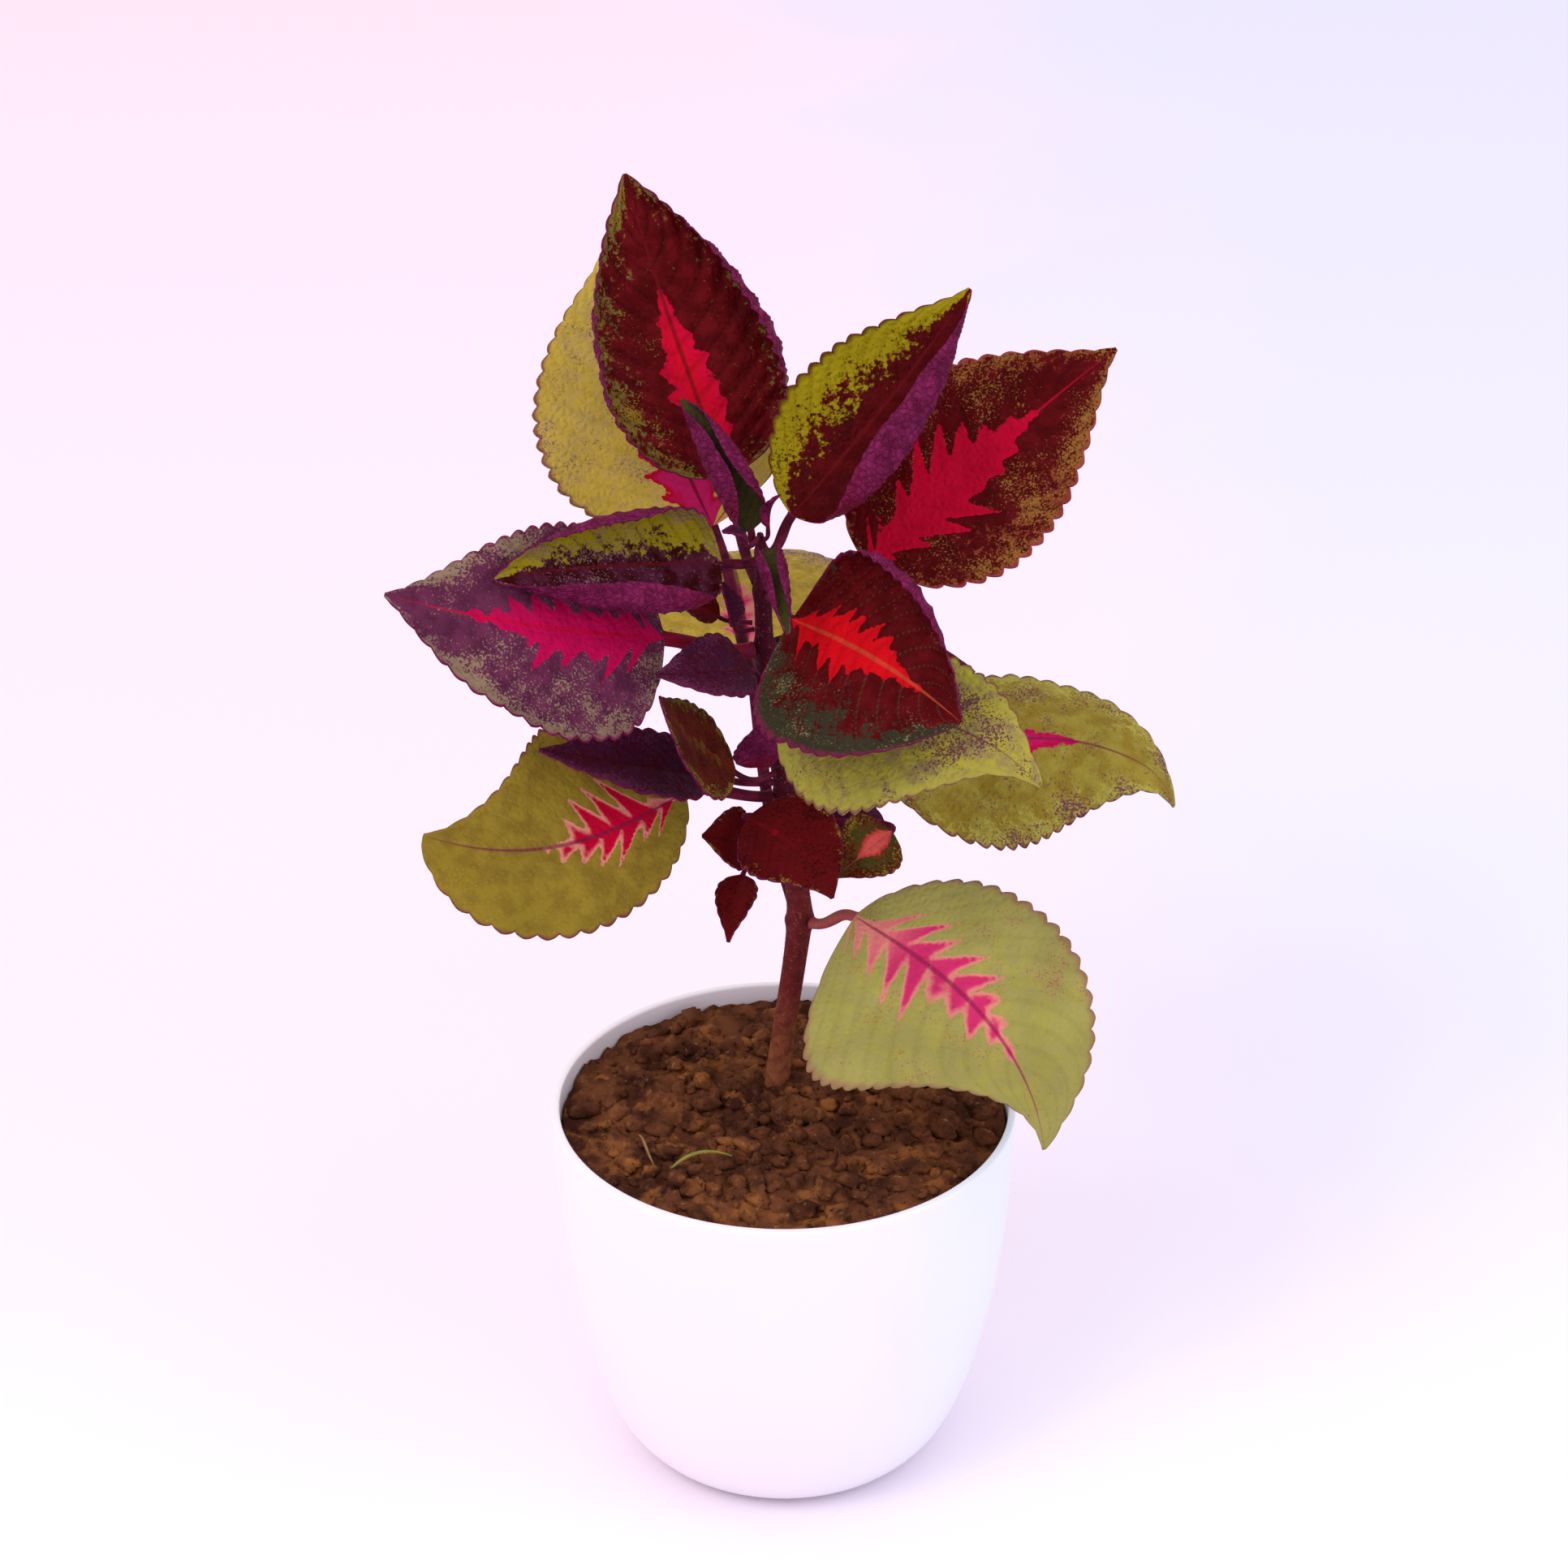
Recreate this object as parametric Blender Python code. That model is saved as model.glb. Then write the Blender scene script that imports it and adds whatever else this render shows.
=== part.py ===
"""A young potted coleus: plain round pot, soil, stem, large paired leaves, small axil leaves.

The frame is in metres, and the sizes below are in millimetres. The origin is the centre
of the flat underside of the pot, +Z is up, and the front of the plant faces -Y.
"""

import math
import random

import bpy
import numpy as np

MM = 0.001
GAP = 0.3

# Pot
POT_HEIGHT = 100.0
RIM_RADIUS = 60.0
WALL = 2.0
FLOOR = 3.0
ROUND_SIDES = 48
# Radius and height up the outside wall
POT_OUTSIDE = [(34.0, 0.0), (38.5, 1.2), (42.5, 4.6), (46.5, 11.0), (50.5, 22.0),
               (54.0, 36.0), (56.8, 52.0), (58.6, 70.0), (59.6, 86.0), (60.0, 99.3)]
RIM_ROUNDING = 0.35
INSIDE_HEIGHTS = [99.3, 86.0, 70.0, 52.0, 36.0, 22.0, 11.0]
CORNER_HEIGHT = 5.2
CORNER_INSET = 1.5
FLOOR_RADIUS = 35.0
DRAIN_RADIUS = 3.5
DRAIN_RING = 19.0
DRAIN_COUNT = 4
CUTTER_SIDES = 16
CUTTER_REACH = 5.0

# Soil
SOIL_LEVEL = 95.0
SOIL_CROWN = 1.2
SOIL_CROWN_SPREAD = 36.0
SOIL_RADIUS = 56.0
SOIL_RINGS = 8
SOIL_RELIEF = 1.5
SOIL_JITTER = 1.5
SOIL_CLEARING = 7.0
SOIL_FADE = 4.0
SOIL_EDGE_DROP = 3.5
# Size, two wave numbers and phase of each swell of the relief
SOIL_WAVES = [(1.0, 0.31, 0.17, 1.3), (0.6, 0.83, 0.29, 2.0)]
SOIL_SEED = 11

# Stem: height, x, y and radius at each station
STEM = [(62.0, -2.0, 15.0, 2.6), (86.0, -2.0, 15.0, 3.1), (96.0, -1.8, 15.0, 3.1),
        (112.0, 0.0, 15.0, 2.9), (130.0, 2.4, 15.0, 2.9), (141.0, 3.7, 15.0, 3.1),
        (145.0, 4.0, 15.0, 3.7), (149.0, 3.9, 15.0, 3.1), (165.0, 2.2, 15.0, 2.7),
        (177.0, 1.1, 15.0, 3.0), (181.0, 0.8, 15.0, 3.6), (185.0, 0.2, 15.0, 2.9),
        (195.0, -2.0, 15.0, 2.5), (202.0, -3.3, 15.0, 2.8), (205.5, -3.7, 15.0, 3.2),
        (209.0, -4.0, 15.0, 2.5), (217.5, -4.7, 15.0, 2.4), (221.5, -4.8, 15.0, 2.9),
        (225.0, -4.9, 15.0, 2.2), (233.0, -5.1, 15.0, 2.1), (237.0, -5.2, 15.0, 2.5),
        (240.5, -5.2, 15.0, 1.8), (244.5, -5.2, 15.0, 1.7), (247.0, -5.3, 15.0, 1.9),
        (249.5, -5.6, 15.0, 1.2), (252.0, -5.8, 15.0, 0.7)]
STEM_SIDES = 12
STEM_SQUARENESS = 0.05
STEM_HOLE_PLAY = 0.4

# Blade
BLADE = 0.7
TIP_HALF_WIDTH = 0.45
RIB = 0.55
RIB_SPREAD = 2.2
# How fast the outline widens from the base and narrows to the tip
BASE_POWER = 0.66
TIP_POWER = 1.12
TIP_PINCH = 0.45
TIP_PINCH_LENGTH = 0.09
ARCH_LEAN = 0.5
# Teeth lean to the tip, and their depth is a share of the blade's length
TOOTH_DEPTH = 0.022
TOOTH_LEAN = 0.62
TOOTH_ROUNDING = 0.8
TOOTH_TAPER = 0.45
HOOK_START = 0.86
CURVE_STEPS = 24

# Stalk
STALK_REACH = 0.4
STALK_SLOPE = 0.3
STALK_FLARE = 0.12
STALK_HEIGHT = 0.9
STALK_SINK = 0.3
# How far the stalk runs straight out of the stem and into the blade, as shares of its length
STALK_OUT = 0.4
STALK_IN = 0.35
# The stalk's thickness runs on under the blade: depth in stalk radii, length as a share
ROOT_DEPTH = 0.6
ROOT_LENGTH = 0.12

# Each leaf: name, height of its node on the stem, base of the blade, tip of the blade,
# arch of the midrib, its sideways bow, downward hook of the tip, turn about its length,
# half widths left and right, fold, curl, rolled margin left and right in degrees, width
# of the rolled band, bluntness left and right, teeth a side, radius of the stalk, tone
LARGE = [
    ("leaf_a", 247.6, (-8, 17, 252), (-25, 32, 280),
     2, 0, 0, -20, 12, 12, 10, 0, 215, 215, 9, 0, 0, 14, 1.0, "purple"),
    ("leaf_b", 246.5, (-4, 4, 252), (1, -22, 242),
     3, 0, 0, 10, 7, 7, 10, 0, 200, 200, 5, 0, 0, 12, 1.0, "purple"),
    ("leaf_c", 245, (2, 22, 254), (45, 44, 304),
     -3, 0, 0, 32, 20, 28, 12, 15, 35, 195, 16, 0, 0, 17, 1.3, "maroon"),
    ("leaf_d", 245, (-15, 6, 248), (-67, -20, 255),
     -2, 2, 0, -50, 25, 21, 12, 10, 190, 150, 14, 0, 0, 17, 1.2, "maroon"),
    ("leaf_e", 237, (-14, 34, 259), (-39, 66, 326),
     -3, 0, 0, -15, 29, 30, 5, 5, 110, 190, 10, 0, 0, 19, 1.4, "maroon"),
    ("leaf_f", 237, (2, 2, 235), (41, -36, 226),
     6, -1, 0, 40, 28, 31, 6, 0, 180, 50, 10, 0, 0.4, 17, 1.3, "maroon"),
    ("leaf_g", 221.5, (21, 30, 237), (83, 60, 283),
     -3, -2, 0, 42, 27, 25, 4, 4, 0, 0, 6, 0, 0, 18, 1.4, "maroon"),
    ("leaf_h", 221.5, (-29, 0, 231), (-92, -26, 254),
     4, -3, 0, -55, 28, 24, 4, 5, 70, 0, 6, 0, 0, 18, 1.9, "maroon"),
    ("leaf_i", 205.5, (-18, 46, 241), (-47, 90, 297),
     2, -2, 0, -12, 33, 33, 3, 4, 0, 0, 6, 0, 0, 20, 1.5, "green"),
    ("leaf_j", 205.5, (-1, 4, 213), (58, -36, 213),
     8, -3, 7, 38, 17, 27, -6, -14, 0, 0, 6, 0.4, 0, 18, 1.4, "green"),
    ("leaf_k", 181, (24, 22, 184), (102, 30, 174),
     8, -8, 7, 30, 25, 27, -14, -14, 0, 0, 6, 0.3, 0, 18, 1.5, "green"),
    ("leaf_l", 181, (-25, 6, 186), (-87, -20, 188),
     5, -9, 0, -50, 21, 29, -2, -6, 0, 0, 6, 0.6, 0, 17, 1.5, "green"),
    ("leaf_m", 145, (18, 2, 153), (64, -44, 115),
     6, -7, 4, 25, 29, 40, 0, -5, 0, 0, 6, 0.3, -0.5, 20, 1.5, "green"),
    ("leaf_v", 145, (-9, 52, 204), (-17, 108, 206),
     9, 0, 3, 0, 32, 31, 2, -8, 0, 0, 6, 0, 0, 13, 1.5, "green"),
]

# Small leaves of the side shoots and the growing tip, in the same order
SMALL = [
    ("leaf_n", 185, (-17.5, 6, 190.5), (-59, -12, 207),
     3, -2, 0, -35, 9, 9, 10, 10, 0, 0, 3, 0, 0, 9, 0.9, "purple"),
    ("shoot_n1", 188, (-12, -2, 196), (-29.5, -14, 222),
     -2, 0, 0, -40, 15, 10, 5, 5, 0, 0, 3, 0, 0, 9, 0.8, "maroon"),
    ("shoot_n2", 192, (-5.5, 5, 194), (-4, 0, 210.5),
     -1, 0, 0, 10, 8, 8, 4, 4, 0, 0, 3, 0, 0, 8, 0.8, "maroon"),
    ("shoot_o", 176.5, (-9, 4, 180), (12, -12, 166),
     3, -2, 0, 20, 13, 14, 4, 6, 0, 0, 3, 0, 0, 9, 0.9, "maroon"),
    ("shoot_p", 174, (-8.5, 9, 170), (-20.5, 4, 175),
     2, 0, 0, -50, 8, 8, 8, 6, 0, 0, 3, 0, 0, 7, 0.7, "maroon"),
    ("shoot_q", 170.5, (-10.5, 10, 160.5), (-14, -4, 149),
     2, 0, 0, 0, 5, 5, 10, 10, 0, 0, 3, -0.3, -0.3, 7, 0.7, "maroon"),
    ("leaf_r", 174, (27, 12, 172), (13, -2, 166.5),
     2, 0, 0, -40, 8, 9, 4, 4, 0, 0, 3, 0, 0, 8, 0.8, "maroon"),
    ("leaf_x", 177, (8.5, 21, 170.5), (27, 24, 166),
     2, 0, 0, 60, 8, 6, 8, 10, 0, 0, 3, 0, 0, 8, 0.8, "purple"),
    ("leaf_u", 205.5, (-8, 3, 221), (-30.5, -12, 227),
     2, -1, 0, -40, 8, 9, 12, 15, 0, 0, 3, 0, 0, 8, 0.8, "purple"),
    ("leaf_s", 227, (-12, 11, 229), (-15, 13, 240),
     0, 0, 0, 0, 3.6, 3.6, 25, 25, 0, 0, 2, 0, 0, 6, 0.6, "purple"),
    ("leaf_w", 228, (-16, 17, 229), (-26, 18, 233),
     1, 0, 0, -30, 4, 4, 8, 8, 0, 0, 2, 0, 0, 6, 0.6, "maroon"),
    ("leaf_y", 211, (-3, 3, 219.5), (-0.5, -6, 212.5),
     1, 0, 0, 0, 4, 4, 20, 20, 0, 0, 2, 0, 0, 6, 0.6, "rosy"),
    ("leaf_t", 209, (27.5, 38, 200.5), (49.5, 54, 197),
     3, 0, 0, 20, 10, 10, 6, 6, 0, 0, 3, 0, 0, 8, 0.8, "maroon"),
    ("bud_right", 250, (-4, 13.5, 254.5), (-1, 12, 263),
     1, 0, 0, 0, 2.2, 2.2, 30, 30, 0, 0, 2, 0, 0, 5, 0.6, "maroon"),
    ("bud_left", 251.2, (-10, 2, 255), (-14.5, -2, 259.5),
     1, 0, 0, -30, 2.2, 2.2, 30, 30, 0, 0, 2, 0, 0, 5, 0.6, "purple"),
]

TONES = {"purple": (0.14, 0.02, 0.10), "maroon": (0.12, 0.01, 0.03), "rosy": (0.32, 0.06, 0.07),
         "green": (0.33, 0.36, 0.07)}

# Rows of points: columns across a blade as shares of its half width, stations along it
PLAIN_SIDE = [0.4, 0.75, 1.0]
SMALL_SIDE = [0.55, 1.0]
ROLL_SHARES = [0.0, 0.25, 0.5, 0.75, 1.0]
STRONG_ROLL = 100.0
LARGE_STATIONS = 9
SMALL_STATIONS = 6
STATION_POWER = 1.1
LARGE_STALK_RINGS = 4
SMALL_STALK_RINGS = 3


def clear_scene():
    for old in list(bpy.data.objects):
        bpy.data.objects.remove(old)


def material(name, colour, roughness):
    made = bpy.data.materials.new(name)
    made.use_nodes = True
    shader = made.node_tree.nodes["Principled BSDF"]
    shader.inputs["Base Color"].default_value = (*colour, 1.0)
    shader.inputs["Roughness"].default_value = roughness
    shader.inputs["Metallic"].default_value = 0.0
    return made


def add_object(name, points, faces, colour, roughness, smooth=True):
    """A mesh object from points in millimetres."""
    mesh = bpy.data.meshes.new(name)
    mesh.from_pydata([tuple(MM * c for c in p) for p in points], [], faces)
    mesh.update()
    made = bpy.data.objects.new(name, mesh)
    bpy.context.scene.collection.objects.link(made)
    mesh.materials.append(material(name + "_skin", colour, roughness))
    mesh.polygons.foreach_set("use_smooth", [smooth] * len(mesh.polygons))
    return made


def outward(points, faces):
    """The faces, turned round if they enclose a negative volume."""
    p = np.array(points)
    volume = 0.0
    for face in faces:
        for k in range(1, len(face) - 1):
            volume += np.dot(p[face[0]], np.cross(p[face[k]], p[face[k + 1]]))
    return faces if volume > 0 else [face[::-1] for face in faces]


def cut(target, cutter):
    cutter.hide_render = True
    cutter.display_type = "WIRE"
    made = target.modifiers.new("cut_" + cutter.name, "BOOLEAN")
    made.operation = "DIFFERENCE"
    made.solver = "EXACT"
    made.object = cutter


def cylinder(name, x, y, radius, low, high):
    turns = [2 * math.pi * k / CUTTER_SIDES for k in range(CUTTER_SIDES)]
    points = [(x + radius * math.cos(a), y + radius * math.sin(a), z) for z in (low, high) for a in turns]
    faces = [tuple(range(CUTTER_SIDES))[::-1], tuple(range(CUTTER_SIDES, 2 * CUTTER_SIDES))]
    for k in range(CUTTER_SIDES):
        m = (k + 1) % CUTTER_SIDES
        faces.append((k, m, CUTTER_SIDES + m, CUTTER_SIDES + k))
    return add_object(name, points, faces, (0.5, 0.5, 0.5), 0.5, smooth=False)


def revolved(profile, lift=None):
    """Solid of revolution of (radius, height) rows that start and end on the axis."""
    points = [(0.0, 0.0, profile[0][1])]
    for r, z in profile[1:-1]:
        for k in range(ROUND_SIDES):
            a = 2 * math.pi * k / ROUND_SIDES
            x, y = r * math.cos(a), r * math.sin(a)
            points.append((x, y, z + (lift(x, y, z) if lift else 0.0)))
    last = len(points)
    points.append((0.0, 0.0, profile[-1][1]))
    faces = []
    for k in range(ROUND_SIDES):
        m = (k + 1) % ROUND_SIDES
        faces.append((0, 1 + k, 1 + m))
        faces.append((last, last - ROUND_SIDES + m, last - ROUND_SIDES + k))
        for row in range(len(profile) - 3):
            a = 1 + row * ROUND_SIDES
            b = a + ROUND_SIDES
            faces.append((a + k, b + k, b + m, a + m))
    return points, outward(points, faces)


def inner_radius(z):
    """Radius of the inside of the pot wall."""
    rows = np.array(POT_OUTSIDE)
    return float(np.interp(z, rows[:, 1], rows[:, 0])) - WALL


def build_pot():
    rim = [(RIM_RADIUS - RIM_ROUNDING, POT_HEIGHT), (RIM_RADIUS - WALL + RIM_ROUNDING, POT_HEIGHT)]
    inside = [(inner_radius(z), z) for z in INSIDE_HEIGHTS]
    corner = [(inner_radius(CORNER_HEIGHT) - CORNER_INSET, CORNER_HEIGHT), (FLOOR_RADIUS, FLOOR)]
    profile = [(0, 0)] + POT_OUTSIDE + rim + inside + corner + [(0, FLOOR)]
    points, faces = revolved(profile)
    pot = add_object("pot", points, faces, (0.86, 0.84, 0.86), 0.35)
    for k in range(DRAIN_COUNT):
        a = 2 * math.pi * (k + 0.5) / DRAIN_COUNT
        x, y = DRAIN_RING * math.cos(a), DRAIN_RING * math.sin(a)
        cut(pot, cylinder(f"drain_cutter_{k}", x, y, DRAIN_RADIUS, -CUTTER_REACH, FLOOR + CUTTER_REACH))


def crumbs(x, y, z):
    """Height of the soil's relief, flat close to the stem and on the sides of the fill."""
    if z < SOIL_LEVEL - SOIL_CROWN:
        return 0.0
    swell = sum(size * math.sin(a * x + b * y + phase) * math.sin(a * y - b * x)
                for size, a, b, phase in SOIL_WAVES)
    jitter = random.Random(int(x * 53) * 7919 + int(y * 59) + SOIL_SEED).uniform(-1, 1)
    foot = math.hypot(x - STEM[1][1], y - STEM[1][2])
    fade = min(1.0, max(0.0, (foot - SOIL_CLEARING) / SOIL_FADE))
    return (SOIL_RELIEF * swell + SOIL_JITTER * jitter) * fade


def build_soil():
    low = [(FLOOR_RADIUS - GAP, FLOOR + GAP),
           (inner_radius(CORNER_HEIGHT) - CORNER_INSET - GAP, CORNER_HEIGHT + GAP)]
    below = [z for z in INSIDE_HEIGHTS[::-1] if z < SOIL_LEVEL - 2 * SOIL_EDGE_DROP]
    heights = below + [SOIL_LEVEL - SOIL_EDGE_DROP]
    sides = [(inner_radius(z) - GAP, z) for z in heights]
    radii = np.linspace(SOIL_RADIUS, 0, SOIL_RINGS + 1)[:-1]
    top = [(r, SOIL_LEVEL + SOIL_CROWN * math.cos(r / SOIL_CROWN_SPREAD)) for r in radii]
    profile = [(0, FLOOR + GAP)] + low + sides + top + [(0, SOIL_LEVEL + SOIL_CROWN)]
    points, faces = revolved(profile, crumbs)
    soil = add_object("soil", points, faces, (0.07, 0.035, 0.02), 0.95)
    foot_height, x, y, _ = STEM[0]
    cut(soil, cylinder("stem_hole_cutter", x, y, STEM[1][3] + STEM_HOLE_PLAY, foot_height - GAP,
                       POT_HEIGHT + CUTTER_REACH))


def build_stem():
    """A slightly square stem, swollen at each node, with its foot buried in the soil."""
    points, faces = [], []
    for z, x, y, r in STEM:
        for k in range(STEM_SIDES):
            a = 2 * math.pi * (k + 0.5) / STEM_SIDES
            size = r * (1.0 + STEM_SQUARENESS * math.cos(4 * a))
            points.append((x + size * math.cos(a), y + size * math.sin(a), z))
    for row in range(len(STEM) - 1):
        for k in range(STEM_SIDES):
            m = (k + 1) % STEM_SIDES
            a = row * STEM_SIDES
            b = a + STEM_SIDES
            faces.append((a + k, a + m, b + m, b + k))
    faces.append(tuple(range(STEM_SIDES))[::-1])
    faces.append(tuple(range(len(points) - STEM_SIDES, len(points))))
    add_object("stem", points, outward(points, faces), (0.14, 0.02, 0.035), 0.5)


def unit(v):
    return v / np.linalg.norm(v)


def turned(v, axis, degrees):
    """v turned about a unit axis."""
    a = math.radians(degrees)
    return v * math.cos(a) + np.cross(axis, v) * math.sin(a) + axis * (axis @ v) * (1 - math.cos(a))


def stem_at(height):
    """Centre and radius of the stem at a height."""
    rows = np.array(STEM)
    x, y, r = (np.interp(height, rows[:, 0], rows[:, k]) for k in (1, 2, 3))
    return np.array([x, y, height]), r


def tooth_wave(s, count):
    """0 in each notch and 1 on each tooth."""
    phase = (s * count) % 1.0
    climb, fall = phase / TOOTH_LEAN, (1.0 - phase) / (1.0 - TOOTH_LEAN)
    return np.where(phase < TOOTH_LEAN, climb, fall) ** TOOTH_ROUNDING


def outline(s, bluntness):
    """Half width of a blade as a share of its widest place."""
    tip_power = TIP_POWER - bluntness
    peak = BASE_POWER / (BASE_POWER + tip_power)
    shape = (s / peak) ** BASE_POWER * ((1.0 - s) / (1.0 - peak)) ** tip_power
    return shape * (1 - TIP_PINCH * np.exp(-(1.0 - s) / TIP_PINCH_LENGTH))


class Leaf:
    """One blade as a formula: midrib curve, frame along it and curved cross-section."""

    def __init__(self, row):
        (self.name, self.node, base, tip, self.arch, self.bow, self.hook, turn, self.left,
         self.right, self.fold, self.curl, self.roll_left, self.roll_right, self.roll_width,
         self.blunt_left, self.blunt_right, self.teeth, self.stalk, self.tone) = row
        self.base = np.array(base, float)
        self.chord = np.array(tip, float) - self.base
        self.length = np.linalg.norm(self.chord)
        along = unit(self.chord)
        level = unit(np.array([0, 0, 1.0]) - along * along[2])
        self.up = turned(level, along, turn)
        self.side = np.cross(along, self.up)

    def midrib(self, s):
        s = np.atleast_1d(s)[:, None]
        rise = 4 * s * (1 - s) * (1 + ARCH_LEAN * (s - 0.5))
        hooked = (np.clip(s - HOOK_START, 0, 1) / (1 - HOOK_START)) ** 2 * self.hook
        offset = rise * (self.arch * self.up + self.bow * self.side)
        return self.base + s * self.chord + offset - hooked * self.up

    def frames(self, s):
        """Tangent, side and normal at each s."""
        step = 1e-3
        t = self.midrib(np.clip(s + step, 0, 1)) - self.midrib(np.clip(s - step, 0, 1))
        t /= np.linalg.norm(t, axis=1)[:, None]
        n = self.up - t * (t @ self.up)[:, None]
        n /= np.linalg.norm(n, axis=1)[:, None]
        return t, np.cross(t, n), n

    def roll_start(self, share):
        """Share of the half width at which the margin starts to roll up."""
        width = self.left if share < 0 else self.right
        return 1.0 - self.roll_width / width

    def reach(self, share, s):
        """Distance from the midrib along the blade. Only the margin itself has teeth."""
        width = self.left if share < 0 else self.right
        shape = outline(s, self.blunt_left if share < 0 else self.blunt_right)
        edge = width * shape
        if abs(share) == 1:
            edge = edge + TOOTH_DEPTH * self.length * tooth_wave(s, self.teeth) * shape ** TOOTH_TAPER
        full = np.sqrt(edge ** 2 + (self.stalk * (1.0 - s)) ** 2) + TIP_HALF_WIDTH * s
        return full * abs(share)

    def column(self, share, s):
        """Points and normals along the line at one signed share of the half width."""
        sign = -1.0 if share < 0 else 1.0
        roll = self.roll_left if share < 0 else self.roll_right
        start = self.roll_start(share)
        _, side, n = self.frames(s)
        soft = np.sqrt(np.sin(np.pi * np.clip(s, 0, 1)))
        out, rise, angle = np.zeros((3, len(s)))
        step = self.reach(share, s) / CURVE_STEPS
        for k in range(CURVE_STEPS):
            u = (k + 0.5) / CURVE_STEPS * abs(share)
            rolled = min(max((u - start) / (1 - start), 0), 1)
            angle = np.radians(self.fold + self.curl * u * u + roll * rolled) * soft
            out += np.cos(angle) * step
            rise += np.sin(angle) * step
        place = self.midrib(s) + sign * out[:, None] * side + rise[:, None] * n
        normal = n * np.cos(angle)[:, None] - sign * side * np.sin(angle)[:, None]
        return place, normal

    def stalk_curve(self):
        """Control points of the stalk from the stem to the blade."""
        centre, radius = stem_at(self.node)
        away = self.base - centre
        away[2] *= STALK_SLOPE
        away = unit(away)
        start = centre + away * (radius + GAP + STALK_REACH)
        span = np.linalg.norm(self.base - start)
        tangent = self.frames(np.array([0.0]))[0][0]
        return start, start + away * span * STALK_OUT, self.base - tangent * span * STALK_IN, self.base


def strip(a, b):
    """Triangles between two lines of point numbers that run the same way."""
    faces = []
    i = j = 0
    while i < len(a) - 1 or j < len(b) - 1:
        next_a = (i + 1) / (len(a) - 1)
        next_b = (j + 1) / (len(b) - 1)
        if j == len(b) - 1 or (i < len(a) - 1 and next_a <= next_b + 1e-9):
            faces.append((a[i], b[j], a[i + 1]))
            i += 1
        else:
            faces.append((a[i], b[j], b[j + 1]))
            j += 1
    return faces


def bezier(p0, p1, p2, p3, u):
    v = 1 - u
    return v ** 3 * p0 + 3 * v * v * u * p1 + 3 * v * u * u * p2 + u ** 3 * p3


def side_shares(leaf, sign, small):
    """Columns of one half of a blade. A strongly rolled margin gets more of them."""
    if small:
        return SMALL_SIDE
    roll = leaf.roll_left if sign < 0 else leaf.roll_right
    if roll < STRONG_ROLL:
        return PLAIN_SIDE
    start = leaf.roll_start(sign)
    return [start / 2] + [start + (1 - start) * share for share in ROLL_SHARES]


def ring_angles(columns):
    """Angles round the stalk that match the points round the base of the blade."""
    half = math.pi / (2 * columns)
    upper = np.linspace(math.pi, 0, columns) * (1 - half / math.pi) + half / 2
    lower = np.linspace(0, -math.pi, columns) * (1 - half / math.pi) - half / 2
    return np.concatenate([upper, lower])


def add_stalk(leaf, points, faces, ring, rings):
    """Continues the base of the blade as a round stalk that ends just off the stem."""
    curve = leaf.stalk_curve()
    up = leaf.frames(np.array([0.0]))[2][0]
    angles = ring_angles(len(ring) // 2)
    previous = ring
    for k in range(1, rings + 1):
        u = 1 - k / rings
        here = bezier(*curve, u)
        along = unit(bezier(*curve, min(u + 0.01, 1.0)) - bezier(*curve, max(u - 0.01, 0.0)))
        side = unit(np.cross(along, up))
        normal = np.cross(side, along)
        r = leaf.stalk * (1.0 + STALK_FLARE * (k == rings))
        first = len(points)
        for a in angles:
            lift = STALK_HEIGHT * math.sin(a) - STALK_SINK * u
            points.append(here + r * (math.cos(a) * side + lift * normal))
        now = list(range(first, first + len(ring)))
        for j in range(len(ring)):
            m = (j + 1) % len(ring)
            faces += [(previous[m], previous[j], now[j]), (previous[m], now[j], now[m])]
        previous = now
    faces.append(tuple(previous[::-1]))


def leaf_mesh(leaf, small):
    """Closed shell of a blade with its stalk, triangulated alike on both faces."""
    columns = [-share for share in side_shares(leaf, -1, small)[::-1]] + [0.0]
    columns += side_shares(leaf, 1, small)
    stations = SMALL_STATIONS if small else LARGE_STATIONS
    notches = np.arange(leaf.teeth + 1) / leaf.teeth
    peaks = (np.arange(leaf.teeth) + TOOTH_LEAN) / leaf.teeth
    margin = np.sort(np.concatenate([notches, peaks]))
    inner = np.linspace(0, 1, stations) ** STATION_POWER
    points, top, bottom = [], [], []
    for share in columns:
        s = margin if abs(share) == 1 else inner
        place, normal = leaf.column(share, s)
        rib = RIB * math.exp(-((abs(share) * leaf.left) / RIB_SPREAD) ** 2) * (1 - s)
        root = ROOT_DEPTH * leaf.stalk * np.clip(1 - s / ROOT_LENGTH, 0, 1) ** 2 * (1 - abs(share))
        for rows, offset in ((top, np.full(len(s), BLADE / 2)), (bottom, -(BLADE / 2 + rib + root))):
            first = len(points)
            points.extend(place + normal * offset[:, None])
            rows.append(list(range(first, len(points))))
    faces = []
    for j in range(len(columns) - 1):
        faces += strip(top[j], top[j + 1])
        faces += [face[::-1] for face in strip(bottom[j], bottom[j + 1])]
        a, b = top[j][-1], top[j + 1][-1]
        c, d = bottom[j][-1], bottom[j + 1][-1]
        faces += [(a, b, d), (a, d, c)]
    faces += strip(bottom[0], top[0])
    faces += strip(top[-1], bottom[-1])
    ring = [rows[0] for rows in top] + [rows[0] for rows in bottom[::-1]]
    add_stalk(leaf, points, faces, ring, SMALL_STALK_RINGS if small else LARGE_STALK_RINGS)
    return points, outward(points, faces)


def build_leaves():
    for row in LARGE + SMALL:
        leaf = Leaf(row)
        points, faces = leaf_mesh(leaf, small=row in SMALL)
        add_object(leaf.name, points, faces, TONES[leaf.tone], 0.5)


clear_scene()
build_pot()
build_soil()
build_stem()
build_leaves()
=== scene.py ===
"""Looks of the potted coleus: fine leaves, finishes, soil, floor, light and camera."""

import math
import random

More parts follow.
